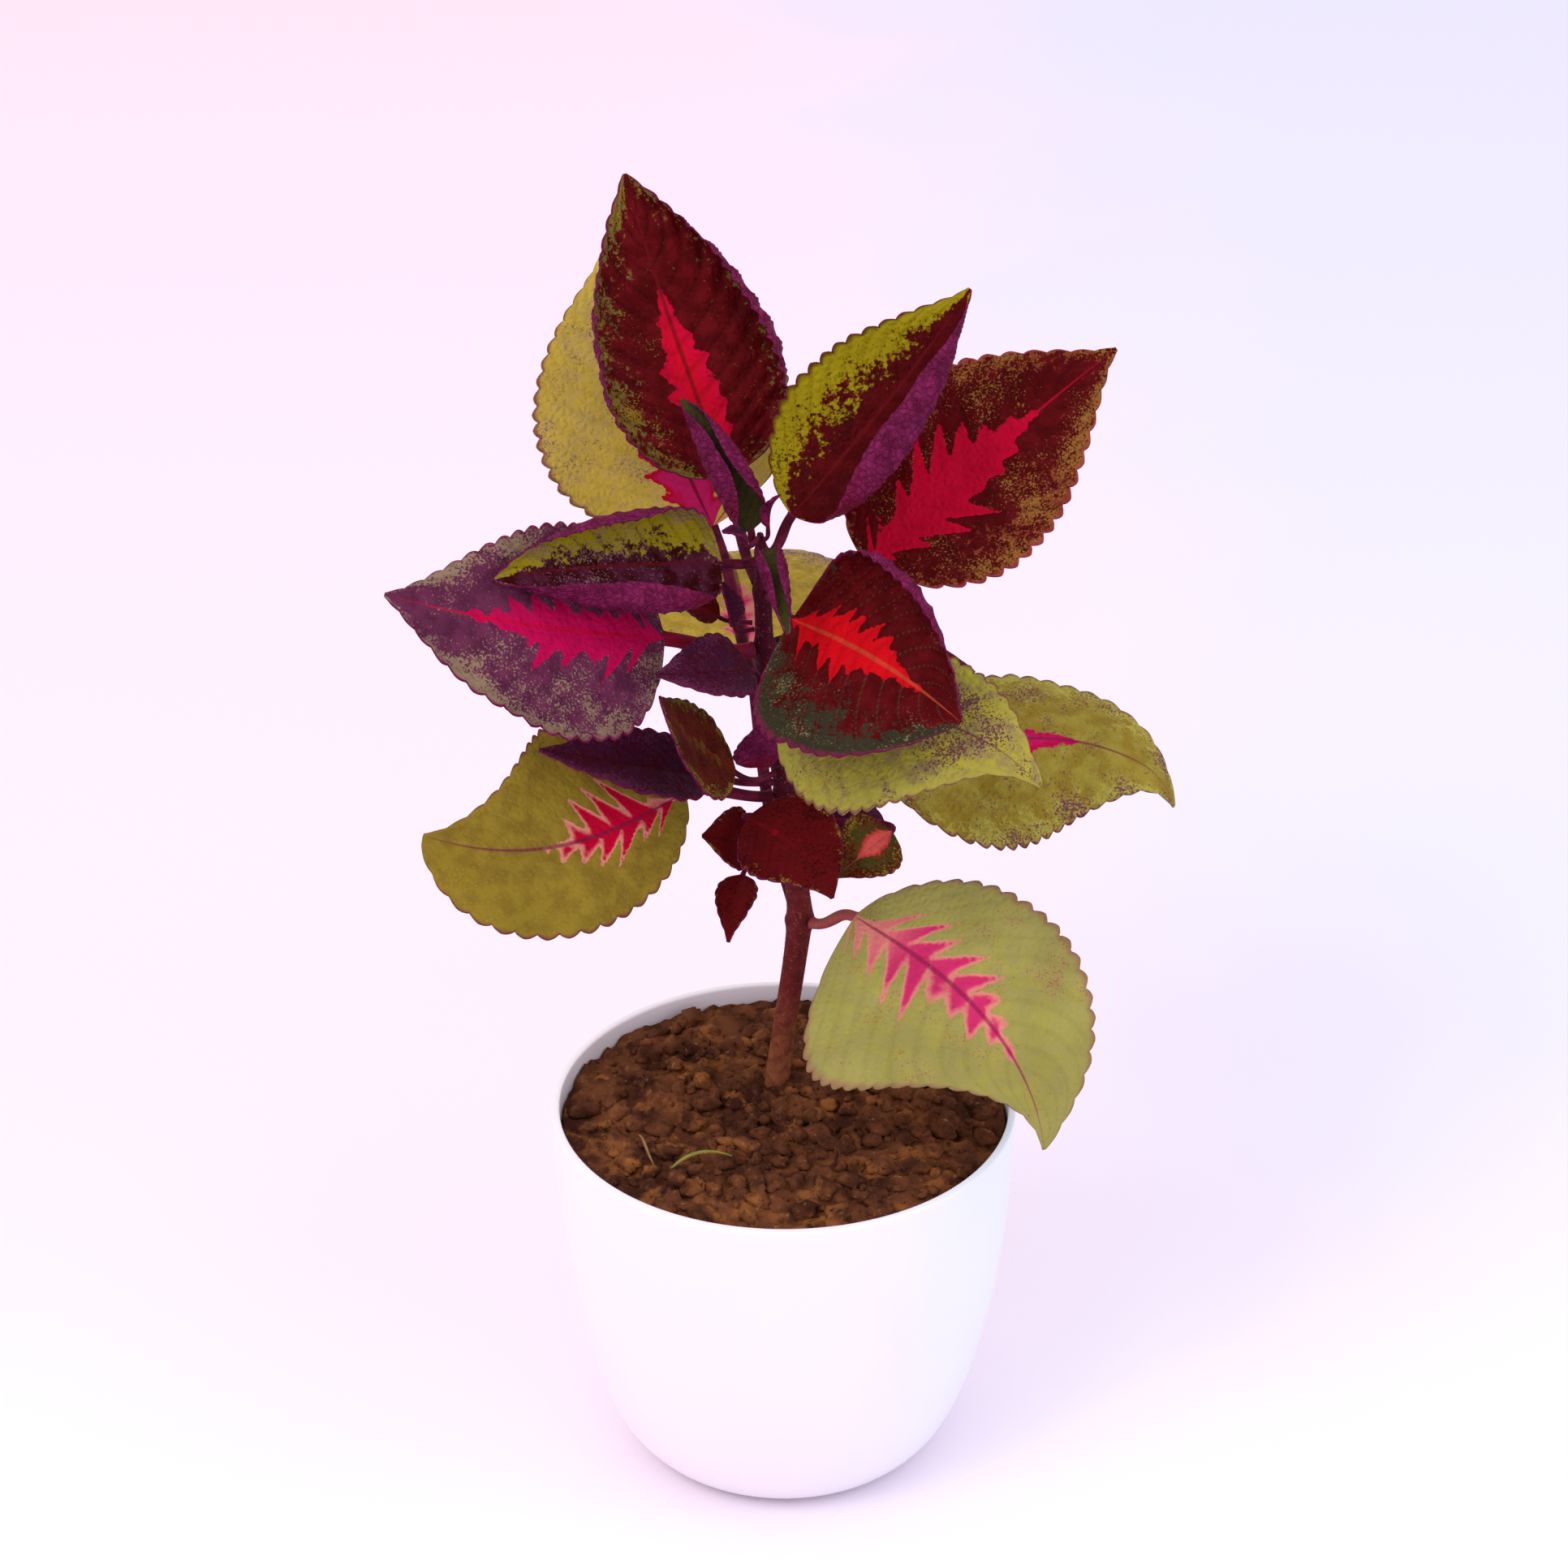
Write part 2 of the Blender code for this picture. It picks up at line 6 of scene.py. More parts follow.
import bpy
import numpy as np
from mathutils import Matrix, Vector, geometry, noise


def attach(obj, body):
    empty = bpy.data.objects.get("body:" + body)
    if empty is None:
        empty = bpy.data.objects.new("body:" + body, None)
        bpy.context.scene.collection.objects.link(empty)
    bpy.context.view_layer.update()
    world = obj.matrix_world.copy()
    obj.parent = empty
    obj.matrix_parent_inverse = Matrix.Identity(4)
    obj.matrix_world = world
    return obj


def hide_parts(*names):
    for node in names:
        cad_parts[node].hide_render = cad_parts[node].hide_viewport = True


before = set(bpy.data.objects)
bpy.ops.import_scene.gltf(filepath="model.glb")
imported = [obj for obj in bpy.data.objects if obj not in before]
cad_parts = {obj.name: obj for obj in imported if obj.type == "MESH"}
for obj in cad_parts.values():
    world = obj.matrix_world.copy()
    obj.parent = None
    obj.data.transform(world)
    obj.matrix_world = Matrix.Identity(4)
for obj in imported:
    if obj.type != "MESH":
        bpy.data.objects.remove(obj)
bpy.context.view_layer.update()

SEED = 11
MM = 0.001

# Camera, in metres: the photograph's frame is 1932 pixels wide
CAMERA_AT = (0.0, -0.7172, 0.5586)
CAMERA_PITCH_DEG = 27.1
CAMERA_CLIP = 0.01
SENSOR_MM = 36.0
FOCAL_PIXELS = 4035.0
PHOTO_PIXELS = 1932.0

# Lamps: name, place and width in metres, power in watts, colour
LAMP_AIM = (0, 0, 0.15)
LAMPS = [("key", (-0.9, -0.9, 1.5), 0.8, 9.0, (1.0, 0.96, 0.97)),
         ("fill", (1.2, -0.5, 0.9), 1.0, 4.0, (0.82, 0.88, 1.0))]
ROOM_COLOUR = (1.0, 0.98, 1.0, 1.0)
ROOM_STRENGTH = 1.08

# Sizes from here on are in millimetres
PAPER_REACH = 6000.0
PAPER_LEVEL = -0.5

# Pot: radius and height along its outside, and how far the rounded rim comes in from
# each face of the wall and down from the top
POT_HEIGHT = 100.0
WALL = 2.0
FLOOR = 3.0
POT_OUTSIDE = [(34, 0), (38.5, 1.2), (42.5, 4.6), (46.5, 11), (50.5, 22),
               (54, 36), (56.8, 52), (58.6, 70), (59.6, 86), (60, 99.3)]
RIM_OUT = 60.0
RIM_ROUND = [(0.09, 0.25), (0.35, 0.0)]
POT_SIDES = 192
PROFILE_STEPS = 6
INSIDE_LOW = 5.2
FLOOR_RADIUS = 35.0
DRAIN_RADIUS = 3.5
DRAIN_RING = 19.0
DRAIN_COUNT = 4
DRAIN_SIDES = 32

# Soil: the relief has swells, lumps and grit, each with its waves per millimetre, the
# layer of the noise that it is cut from, and its height
SOIL_LEVEL = 95.0
SOIL_CROWN = 1.2
CROWN_SPREAD = 36.0
SOIL_RADIUS = 57.3
SOIL_TAPER = 0.6
SOIL_DEPTH = 9.0
SOIL_GRID = (84, 220)
SWELL_WAVES, SWELL_LAYER, SWELL = 0.12, 3.0, 1.3
SWELL_FRACTAL = (0.9, 2.1, 4)
LUMP_WAVES, LUMP_LAYER, LUMP = 0.33, 9.0, 1.6
GRIT_WAVES, GRIT_LAYER, GRIT_SHARE = 0.75, 4.0, 0.6

# Crumbs on the soil: knobbly flattened balls, kept off the foot of the stem
CRUMBS = 520
CRUMB_GRID = (7, 11)
CRUMB_SIZES = [0.8, 1.0, 1.3, 1.7, 2.3, 3.1]
CRUMB_REACH = 53.5
CRUMB_LIFT = 0.2
CRUMB_SQUASH = (0.55, 0.85)
CRUMB_STRETCH = (0.8, 1.4)
CRUMB_SHIFT = 50
LOBE_WAVES, LOBE = 1.3, 0.55
KNOB_WAVES, KNOB = 3.1, 0.35
FOOT_CLEARANCE = 5

# Two blades of grass on the soil: width and control points
GREEN_GRASS = (1.6, (-29, -29, 97), (-25, -27, 101.5),
               (-19, -25.5, 102.5), (-13, -26, 99.5))
DRY_GRASS = (0.9, (-37, -14, 98), (-35.5, -18, 100.5),
             (-35, -24, 100), (-32, -29, 97.5))
GRASS_STEPS = 24
GRASS_RISE = 0.35
GRASS_FOOT, GRASS_SPAN, GRASS_POWER = 0.12, 0.86, 0.7

# Stem, in the plane y = 15: height, x and radius at each station
STEM_Y = 15.0
STEM = [(62, -2, 2.6), (86, -2, 3.1), (96, -1.8, 3.1), (112, 0, 2.9),
        (130, 2.4, 2.9), (141, 3.7, 3.1), (145, 4, 3.7), (149, 3.9, 3.1),
        (165, 2.2, 2.7), (177, 1.1, 3), (181, 0.8, 3.6), (185, 0.2, 2.9),
        (195, -2, 2.5), (202, -3.3, 2.8), (205.5, -3.7, 3.2), (209, -4, 2.5),
        (217.5, -4.7, 2.4), (221.5, -4.8, 2.9), (225, -4.9, 2.2), (233, -5.1, 2.1),
        (237, -5.2, 2.5), (240.5, -5.2, 1.8), (244.5, -5.2, 1.7), (247, -5.3, 1.9),
        (249.5, -5.6, 1.2), (252, -5.8, 0.7)]
STEM_ROWS = 220
STEM_SIDES = 40
STEM_SQUARENESS = 0.05
HAIRS = 1500
HAIR_LENGTH = 0.7
HAIR_RADIUS = 0.03
HAIR_ROOT = 0.1
HAIR_RISE = (-0.2, 0.5)
HAIRS_FROM = 2

# Blade and stalk
LARGE_GRID = (210, 43)
SMALL_GRID = (90, 21)
ROW_POWER = 1.05
COLUMN_POWER = 1.3
BLADE = 0.45
TIP_HALF_WIDTH = 0.45
BASE_POWER = 0.66
TIP_POWER = 1.12
TIP_PINCH = 0.45
TIP_PINCH_LENGTH = 0.09
ARCH_LEAN = 0.5
HOOK_START = 0.86
CURVE_STEPS = 24
TOOTH_DEPTH = 0.022
TOOTH_LEAN = 0.62
TOOTH_RISE_POWER = 0.8
TOOTH_FALL_POWER = 0.55
TOOTH_TAPER = 0.45
TOOTH_BAND = 0.2
GAP = 0.3
STALK_REACH = 0.4
STALK_SLOPE = 0.3
STALK_FLARE = 0.12
STALK_HEIGHT = 0.9
STALK_SINK = 0.3
STALK_OUT = 0.4
STALK_IN = 0.35
STALK_RINGS = 16
STALK_SWELL = 0.05
STALK_TURN = 9
ROOT_DEPTH = 0.6
ROOT_LENGTH = 0.10

# Relief of a blade: cushions between the side veins, which flatten towards the midrib,
# margin and ends, a groove on the midrib, a slow wave, and ribs below
CUSHION = 0.85
CUSHION_SINK = 0.35
CUSHION_POWER = 2.2
CUSHION_ENDS = 1.6
CUSHION_INNER = 5
CUSHION_OUTER = 4
CUSHION_RIM = 0.25
CUSHION_MEAN, CUSHION_CHANGE = 0.8, 0.35
CUSHION_ALONG, CUSHION_ACROSS = 31, 9
GROOVE = 0.25
GROOVE_SPREAD = 1.3
WAVE = 0.35
WAVES = 21
WAVE_POWER = 3
RIB = 0.55
RIB_SPREAD = 1.6
RIB_TAPER = 0.8
VEIN_RIB = 0.14
VEIN_RIB_POWER = 6
FULL_RELIEF = 60.0
RELIEF_SHIFT = 6
SIDE_SHIFT = 2

# Side veins: share of the length between two, and how they lean to the tip
VEIN_STEP = 0.088
VEIN_LEAN = 0.20
VEIN_CURVE = 0.10
VEIN_STAGGER = 0.35

# Middle patch: fingers along the side veins, and a body whose width follows a sine
FINGER_COUNT = 30
FINGER_LENGTHS = (0.05, 1.5)
FINGER_POWER = 1.25
FINGER_FADE = 0.6
FINGER_SHIFT = 20.5
CORE_FADE = 2.2
CORE_START, CORE_SPAN = 0.5, 2.6
CORE_LEAST = -0.3
CORE_BEYOND = 0.5
NO_CORE = 0.1

# Each leaf: name, height of its node on the stem, base of the blade, tip of the blade,
# arch of the midrib, its sideways bow, downward hook of the tip, turn about its length,
# half widths left and right, fold, curl, rolled margin left and right in degrees, width
# of the rolled band, bluntness left and right, teeth a side, radius of the stalk, kind
LARGE = [
    ("leaf_a", 247.6, (-8, 17, 252), (-25, 32, 280),
     2, 0, 0, -20, 12, 12, 10, 0, 215, 215, 9, 0, 0, 14, 1.0, "dark"),
    ("leaf_b", 246.5, (-4, 4, 252), (1, -22, 242),
     3, 0, 0, 10, 7, 7, 10, 0, 200, 200, 5, 0, 0, 12, 1.0, "dark"),
    ("leaf_c", 245, (2, 22, 254), (45, 44, 304),
     -3, 0, 0, 32, 20, 28, 12, 15, 35, 195, 16, 0, 0, 17, 1.3, "dark"),
    ("leaf_d", 245, (-15, 6, 248), (-67, -20, 255),
     -2, 2, 0, -50, 25, 21, 12, 10, 190, 150, 14, 0, 0, 17, 1.2, "dark"),
    ("leaf_e", 237, (-14, 34, 259), (-39, 66, 326),
     -3, 0, 0, -15, 29, 30, 5, 5, 110, 190, 10, 0, 0, 19, 1.4, "dark"),
    ("leaf_f", 237, (2, 2, 235), (41, -36, 226),
     6, -1, 0, 40, 28, 31, 6, 0, 180, 50, 10, 0, 0.4, 17, 1.3, "dark"),
    ("leaf_g", 221.5, (21, 30, 237), (83, 60, 283),
     -3, -2, 0, 42, 27, 25, 4, 4, 0, 0, 6, 0, 0, 18, 1.4, "dark"),
    ("leaf_h", 221.5, (-29, 0, 231), (-92, -26, 254),
     4, -3, 0, -55, 28, 24, 4, 5, 70, 0, 6, 0, 0, 18, 1.9, "dark"),
    ("leaf_i", 205.5, (-18, 46, 241), (-47, 90, 297),
     2, -2, 0, -12, 33, 33, 3, 4, 0, 0, 6, 0, 0, 20, 1.5, "green"),
    ("leaf_j", 205.5, (-1, 4, 213), (58, -36, 213),
     8, -3, 7, 38, 17, 27, -6, -14, 0, 0, 6, 0.4, 0, 18, 1.4, "green"),
    ("leaf_k", 181, (24, 22, 184), (102, 30, 174),
     8, -8, 7, 30, 25, 27, -14, -14, 0, 0, 6, 0.3, 0, 18, 1.5, "green"),
    ("leaf_l", 181, (-25, 6, 186), (-87, -20, 188),
     5, -9, 0, -50, 21, 29, -2, -6, 0, 0, 6, 0.6, 0, 17, 1.5, "green"),
    ("leaf_m", 145, (18, 2, 153), (64, -44, 115),
     6, -7, 4, 25, 29, 40, 0, -5, 0, 0, 6, 0.3, -0.5, 20, 1.5, "green"),
    ("leaf_v", 145, (-9, 52, 204), (-17, 108, 206),
     9, 0, 3, 0, 32, 31, 2, -8, 0, 0, 6, 0, 0, 13, 1.5, "green"),
]

# Small leaves of the side shoots and the growing tip, in the same order
SMALL = [
    ("leaf_n", 185, (-17.5, 6, 190.5), (-59, -12, 207),
     3, -2, 0, -35, 9, 9, 10, 10, 0, 0, 3, 0, 0, 9, 0.9, "small_purple"),
    ("shoot_n1", 188, (-12, -2, 196), (-29.5, -14, 222),
     -2, 0, 0, -40, 15, 10, 5, 5, 0, 0, 3, 0, 0, 9, 0.8, "small_bronze"),
    ("shoot_n2", 192, (-5.5, 5, 194), (-4, 0, 210.5),
     -1, 0, 0, 10, 8, 8, 4, 4, 0, 0, 3, 0, 0, 8, 0.8, "small_bronze"),
    ("shoot_o", 176.5, (-9, 4, 180), (12, -12, 166),
     3, -2, 0, 20, 13, 14, 4, 6, 0, 0, 3, 0, 0, 9, 0.9, "small_red"),
    ("shoot_p", 174, (-8.5, 9, 170), (-20.5, 4, 175),
     2, 0, 0, -50, 8, 8, 8, 6, 0, 0, 3, 0, 0, 7, 0.7, "small_red"),
    ("shoot_q", 170.5, (-10.5, 10, 160.5), (-14, -4, 149),
     2, 0, 0, 0, 5, 5, 10, 10, 0, 0, 3, -0.3, -0.3, 7, 0.7, "small_red"),
    ("leaf_r", 174, (27, 12, 172), (13, -2, 166.5),
     2, 0, 0, -40, 8, 9, 4, 4, 0, 0, 3, 0, 0, 8, 0.8, "small_pale"),
    ("leaf_x", 177, (8.5, 21, 170.5), (27, 24, 166),
     2, 0, 0, 60, 8, 6, 8, 10, 0, 0, 3, 0, 0, 8, 0.8, "small_purple"),
    ("leaf_u", 205.5, (-8, 3, 221), (-30.5, -12, 227),
     2, -1, 0, -40, 8, 9, 12, 15, 0, 0, 3, 0, 0, 8, 0.8, "small_purple"),
    ("leaf_s", 227, (-12, 11, 229), (-15, 13, 240),
     0, 0, 0, 0, 3.6, 3.6, 25, 25, 0, 0, 2, 0, 0, 6, 0.6, "small_purple"),
    ("leaf_w", 228, (-16, 17, 229), (-26, 18, 233),
     1, 0, 0, -30, 4, 4, 8, 8, 0, 0, 2, 0, 0, 6, 0.6, "small_red"),
    ("leaf_y", 211, (-3, 3, 219.5), (-0.5, -6, 212.5),
     1, 0, 0, 0, 4, 4, 20, 20, 0, 0, 2, 0, 0, 6, 0.6, "small_pale"),
    ("leaf_t", 209, (27.5, 38, 200.5), (49.5, 54, 197),
     3, 0, 0, 20, 10, 10, 6, 6, 0, 0, 3, 0, 0, 8, 0.8, "small_red"),
    ("bud_right", 250, (-4, 13.5, 254.5), (-1, 12, 263),
     1, 0, 0, 0, 2.2, 2.2, 30, 30, 0, 0, 2, 0, 0, 5, 0.6, "small_red"),
    ("bud_left", 251.2, (-10, 2, 255), (-14.5, -2, 259.5),
     1, 0, 0, -30, 2.2, 2.2, 30, 30, 0, 0, 2, 0, 0, 5, 0.6, "small_purple"),
]

# Colours, linear
MAROON = (0.06, 0.001, 0.0022)
MAROON_LIGHT = (0.115, 0.0035, 0.006)
OXBLOOD = (0.03, 0.001, 0.002)
BLOOD = (0.085, 0.003, 0.004)
SCARLET = (0.5, 0.002, 0.007)
RUBY = (0.46, 0.0015, 0.014)
CHERRY = (0.43, 0.001, 0.022)
CRIMSON = (0.44, 0.001, 0.024)
MAGENTA = (0.42, 0.002, 0.062)
PINK = (0.52, 0.012, 0.11)
WARM_PINK = (0.54, 0.025, 0.12)
SALMON = (0.6, 0.2, 0.16)
CORAL = (0.52, 0.07, 0.06)
DEEP_CORAL = (0.4, 0.03, 0.03)
EMBER = (0.4, 0.05, 0.02)
ROSY = (0.34, 0.05, 0.07)
ROSE_BROWN = (0.3, 0.035, 0.045)
WINE = (0.24, 0.012, 0.06)
BERRY = (0.15, 0.01, 0.045)
PLUM = (0.05, 0.007, 0.026)
MAUVE = (0.115, 0.02, 0.058)
DUSTY_MAUVE = (0.13, 0.05, 0.075)
GREY_MAUVE = (0.2, 0.095, 0.115)
BRONZE = (0.14, 0.024, 0.005)
RED_BROWN = (0.085, 0.008, 0.005)
RUST = (0.17, 0.036, 0.014)
OCHRE = (0.24, 0.11, 0.022)
BUFF = (0.24, 0.165, 0.1)
STRAW = (0.44, 0.3, 0.11)
HUSK = (0.26, 0.12, 0.075)
LIME = (0.27, 0.205, 0.005)
OLIVE = (0.2, 0.125, 0.012)
DARK_OLIVE = (0.12, 0.09, 0.022)
GREY_OLIVE = (0.12, 0.09, 0.045)
BROWN_OLIVE = (0.16, 0.095, 0.014)
MOSS = (0.12, 0.075, 0.008)
KHAKI = (0.16, 0.14, 0.06)
BLACK_GREEN = (0.03, 0.025, 0.014)
DARK_GREEN = (0.045, 0.042, 0.008)
FERN = (0.16, 0.16, 0.025)
SAGE = (0.23, 0.16, 0.075)
OLIVE_GREEN = (0.235, 0.16, 0.018)
YELLOW_GREEN = (0.5, 0.345, 0.05)
SPRING_GREEN = (0.37, 0.32, 0.035)
PALE_GREEN = (0.29, 0.255, 0.075)
LEAF_LIGHT = (0.33, 0.29, 0.05)
STALK = (0.05, 0.003, 0.013)
BARK = (0.26, 0.085, 0.035)
YOUNG_BARK = (0.14, 0.016, 0.016)
EARTH = (0.05, 0.016, 0.01)
# Pot tints: painted warm light on the left side and painted cool shade on the right
GLAZE_PAINTED_WARM_LIGHT = (0.86, 0.775, 0.85)
GLAZE_PAINTED_COOL_SHADE = (0.72, 0.77, 0.9)
# Paper tints: painted warm light on the left and painted cool shade on the right; paler towards the
# front
PAPER_PAINTED_WARM_LIGHT = (0.93, 0.73, 0.84)
PAPER_PAINTED_COOL_SHADE = (0.76, 0.74, 0.93)
PAPER_FRONT = (0.9, 0.85, 0.91)
GRASS_COLOURS = {"green_grass": ((0.16, 0.17, 0.025), (0.26, 0.22, 0.04)),
                 "dry_grass": ((0.32, 0.16, 0.06), (0.22, 0.1, 0.03))}

# Underside of a leaf: main colour, lighter patches, colour near the stalk, side veins
UNDERS = {"dark_leaf": ((0.075, 0.003, 0.024), (0.17, 0.011, 0.066), (0.17, 0.002, 0.014),
                        (0.26, 0.012, 0.07)),
          "green_leaf": ((0.23, 0.21, 0.075), (0.33, 0.3, 0.12), (0.3, 0.14, 0.09),
                         (0.32, 0.28, 0.12))}

# Stalks: colour and patches, and the leaves whose stalk isn't dark
STALKS = {"dark_stalk": (STALK, (0.12, 0.008, 0.028)), "rosy_stalk": (ROSY, (0.25, 0.09, 0.05)),
          "red_stalk": ((0.2, 0.003, 0.02), (0.12, 0.008, 0.028))}
OTHER_STALKS = {"leaf_m": "rosy_stalk", "leaf_h": "red_stalk", "leaf_k": "red_stalk"}

# Upper side of a leaf. core, core_edge: middle patch and its edge; width: half width;
# begin: where it turns bright; end: where it ends; finger: length of its fingers.
# field, field_light: main colour and its patches; patches: their strength. band: margin
# colour; left, right: how far it comes in; ragged: how uneven it is. speck: colour of
# the fine dots; cover, rim_cover: how dense they are all over and at the margin. vein,
# vein_strength: side veins. edge, edge_width: thin line on the margin. cushion: strength
# of the relief and of the painted shade in its vein valleys. Widths are shares of the
# half width, and places shares of the length
PLAIN_LOOK = dict(
    core=CRIMSON, core_edge=CRIMSON, width=0.0, begin=-1.0, end=0.0,
    finger=0.0, field=MAROON, field_light=MAROON_LIGHT, patches=0.5,
    band=OLIVE, left=0.3, right=0.3, ragged=1.0,
    speck=PLUM, cover=0.0, rim_cover=0.5,
    vein=OXBLOOD, vein_strength=0.35, midrib=MAROON_LIGHT,
    edge=BERRY, edge_width=0.04, cushion=0.6,
)
LOOKS = {
    "leaf_a": dict(field=DARK_GREEN, field_light=PLUM, band=DARK_GREEN, midrib=DARK_GREEN),
    "leaf_b": dict(field=DARK_GREEN, field_light=PLUM, band=FERN, midrib=DARK_GREEN),
    "leaf_c": dict(band=LIME, left=0.78, right=0.02, speck=OXBLOOD, cover=0.12, rim_cover=0.0,
        edge=MAROON, edge_width=0.06, cushion=0.5),
    "leaf_d": dict(field=OXBLOOD, field_light=MAUVE, band=LIME, left=0.02, right=1.1,
        speck=GREY_MAUVE, cover=0.25, rim_cover=0.1, cushion=0.5),
    "leaf_e": dict(core=RUBY, width=0.17, end=0.64, finger=0.1, patches=0.7, band=DARK_OLIVE,
        left=0.36, right=0.18, ragged=1.5, speck=OLIVE, cover=-0.25, rim_cover=0.7,
        vein_strength=0.5, edge_width=0.07, cushion=1.4),
    "leaf_f": dict(core=SCARLET, core_edge=SCARLET, width=0.16, end=0.8, finger=0.2,
        band=BLACK_GREEN, left=0.1, right=0.62, speck=KHAKI, cover=-0.25, rim_cover=0.4,
        vein=GREY_OLIVE, vein_strength=0.32, midrib=EMBER, edge_width=0.08, cushion=0.9),
    "leaf_g": dict(core=CHERRY, width=0.22, end=0.7, finger=0.42, band=RUST, left=0.12,
        right=0.25, ragged=2.0, speck=OCHRE, cover=0.1, rim_cover=0.35, midrib=CRIMSON,
        edge=ROSE_BROWN, cushion=0.5),
    "leaf_h": dict(core=MAGENTA, core_edge=MAGENTA, width=0.17, end=0.74, finger=0.34,
        field=MAUVE, field_light=PLUM, patches=0.6, band=DUSTY_MAUVE, left=0.16, right=0.02,
        ragged=2.0, speck=BUFF, cover=0.2, rim_cover=0.7, vein=GREY_MAUVE, vein_strength=0.2,
        midrib=CRIMSON),
    "leaf_i": dict(core=PINK, width=0.24, end=0.4, finger=0.3, field=YELLOW_GREEN,
        field_light=STRAW, patches=0.6, band=YELLOW_GREEN, speck=GREY_MAUVE, cover=0.1,
        rim_cover=0.1, vein=YELLOW_GREEN, cushion=0.4),
    "leaf_j": dict(field=SPRING_GREEN, field_light=SAGE, patches=0.8, band=LEAF_LIGHT, left=0.1,
        right=0.45, speck=MAUVE, cover=0.5, rim_cover=-0.5, vein=LEAF_LIGHT, vein_strength=0.15,
        midrib=MAUVE, cushion=0.35),
    "leaf_k": dict(core=PINK, core_edge=MAGENTA, width=0.15, end=0.64, finger=0.14,
        field=OLIVE_GREEN, field_light=LEAF_LIGHT, band=LEAF_LIGHT, speck=MAUVE, cover=0.22,
        rim_cover=0.15, vein=YELLOW_GREEN, vein_strength=0.2, midrib=BERRY, cushion=0.45),
    "leaf_l": dict(core_edge=SALMON, width=0.13, end=0.6, finger=0.4, field=OLIVE_GREEN,
        field_light=BROWN_OLIVE, patches=0.6, band=OLIVE_GREEN, left=0.1, right=0.2,
        speck=OLIVE, cover=0.02, rim_cover=0.0, vein=YELLOW_GREEN, vein_strength=0.25,
        midrib=BERRY, cushion=0.45),
    "leaf_m": dict(core=WARM_PINK, core_edge=SALMON, width=0.12, begin=0.04, end=0.74,
        finger=0.4, field=PALE_GREEN, field_light=LEAF_LIGHT, band=PALE_GREEN, speck=ROSY,
        rim_cover=0.0, vein=LEAF_LIGHT, vein_strength=0.2, midrib=WINE, edge=HUSK,
        edge_width=0.07, cushion=0.4),
    "leaf_v": dict(core=PINK, core_edge=SALMON, width=0.15, end=0.4, finger=0.15,
        field=YELLOW_GREEN, field_light=OLIVE_GREEN, band=YELLOW_GREEN, speck=GREY_MAUVE,
        cover=0.1, vein=YELLOW_GREEN, cushion=0.4),
    "small_red": dict(core_edge=MAROON_LIGHT, width=0.05, end=0.5, finger=0.08, field=BLOOD,
        left=0.02, right=0.02, speck=OXBLOOD, cover=0.2, cushion=0.8),
    "small_bronze": dict(core=MOSS, core_edge=BRONZE, width=0.03, end=0.8, finger=0.22,
        field=RED_BROWN, field_light=BRONZE, speck=OXBLOOD, cover=0.1, vein=OLIVE,
        vein_strength=0.3),
    "small_purple": dict(field=PLUM, field_light=MAROON, band=PLUM, speck=MAUVE, cover=0.1,
        midrib=MAROON),
    "small_pale": dict(core=CORAL, core_edge=DEEP_CORAL, width=0.3, end=0.7, finger=0.12,
        field=DARK_GREEN, field_light=BRONZE, speck=MAROON, cover=0.3, midrib=ROSY),
}

# Noise on the upper side of a leaf: waves per metre, detail and roughness
BLOTCH = (150, 3, 0.6)
GRAIN = (700, 4, 0.7)
DOT = (1700, 3, 0.65)
PATCH = (230, 3)
DRIFT = (95, 2)
NICK = (340, 3, 0.7)
JAG = (120, 2)
SHADE = (70, 3)

# Where a colour begins and is full there, and the weights of what places it
SIDE_LIMITS = (-0.15, 0.15)
PATCH_LIMITS = (-0.12, 0.16)
BAND_LIMITS = (0.76, 0.92)
BAND_WEIGHTS = (0.75, 0.62, 0.9, -0.10, 0.10)
RAGGED = 1.3
DRIFT_LIMITS = (0.4, 1.0)
DRIFT_WEIGHTS = (0.30, 0.55)
DOT_LIMITS = (0.15, 0.21, 0.0, 0.9)
DOT_WEIGHTS = (1.0, 1.0, 0.30)
VEIN_LIMITS = (0.80, 1.0)
VEIN_WEIGHTS = (1.0, 0.12, 0.06)
EDGE_WEIGHTS = (0.25, 0.5)
EDGE_STRENGTH = 0.85
CORE_LIMITS = (-0.004, 0.014)
CORE_WEIGHTS = (1.0, 0.18, 0.16)
BRIGHT_LIMITS = (0.03, 0.15)
BRIGHT_LENGTH = 0.2
MIDRIB_LIMITS = (0.010, 0.028, 0.75, 0.0)
SHADES, SHADE_STRENGTH = (0.62, 1.30), 0.75
# Painted shade in the vein valleys and painted light on the cushions: where it begins and is full,
# its tone on the cushions and on the veins, its strength, and the most cushion that scales it
VALLEY_PAINTED_SHADE_LIMITS = (0.55, 1.0)
VALLEY_PAINTED_SHADE_TONES, VALLEY_PAINTED_SHADE_STRENGTH, MOST_CUSHION = (1.12, 0.62), 0.45, 1.2
UPPER_ROUGHNESS = (-0.2, 0.2, 0.46, 0.62)

# Small cushions between the finest veins: cells per metre, distance from a vein over
# which they rise, depth in metres and strength
UPPER_CELLS, UPPER_CELL_LIMITS, UPPER_CELL_BUMP = 460, (0.0, 0.42), (0.00040, 0.55)
UNDER_CELLS, UNDER_CELL_LIMITS, UNDER_CELL_BUMP = 560, (0.0, 0.16, 1.0, 0.0), (0.0006, 1.0)
UNDER_CELL_LIGHT, UNDER_CELL_MIX = 1.5, 0.35
UNDER_WARM_LIMITS = (0.0, 0.35, 0.8, 0.0)
UNDER_VEIN_LIMITS = (0.8, 0.98, 0.0, 0.4)
UNDER_RIM_LIMITS = (0.0, 0.08, 0.5, 0.0)

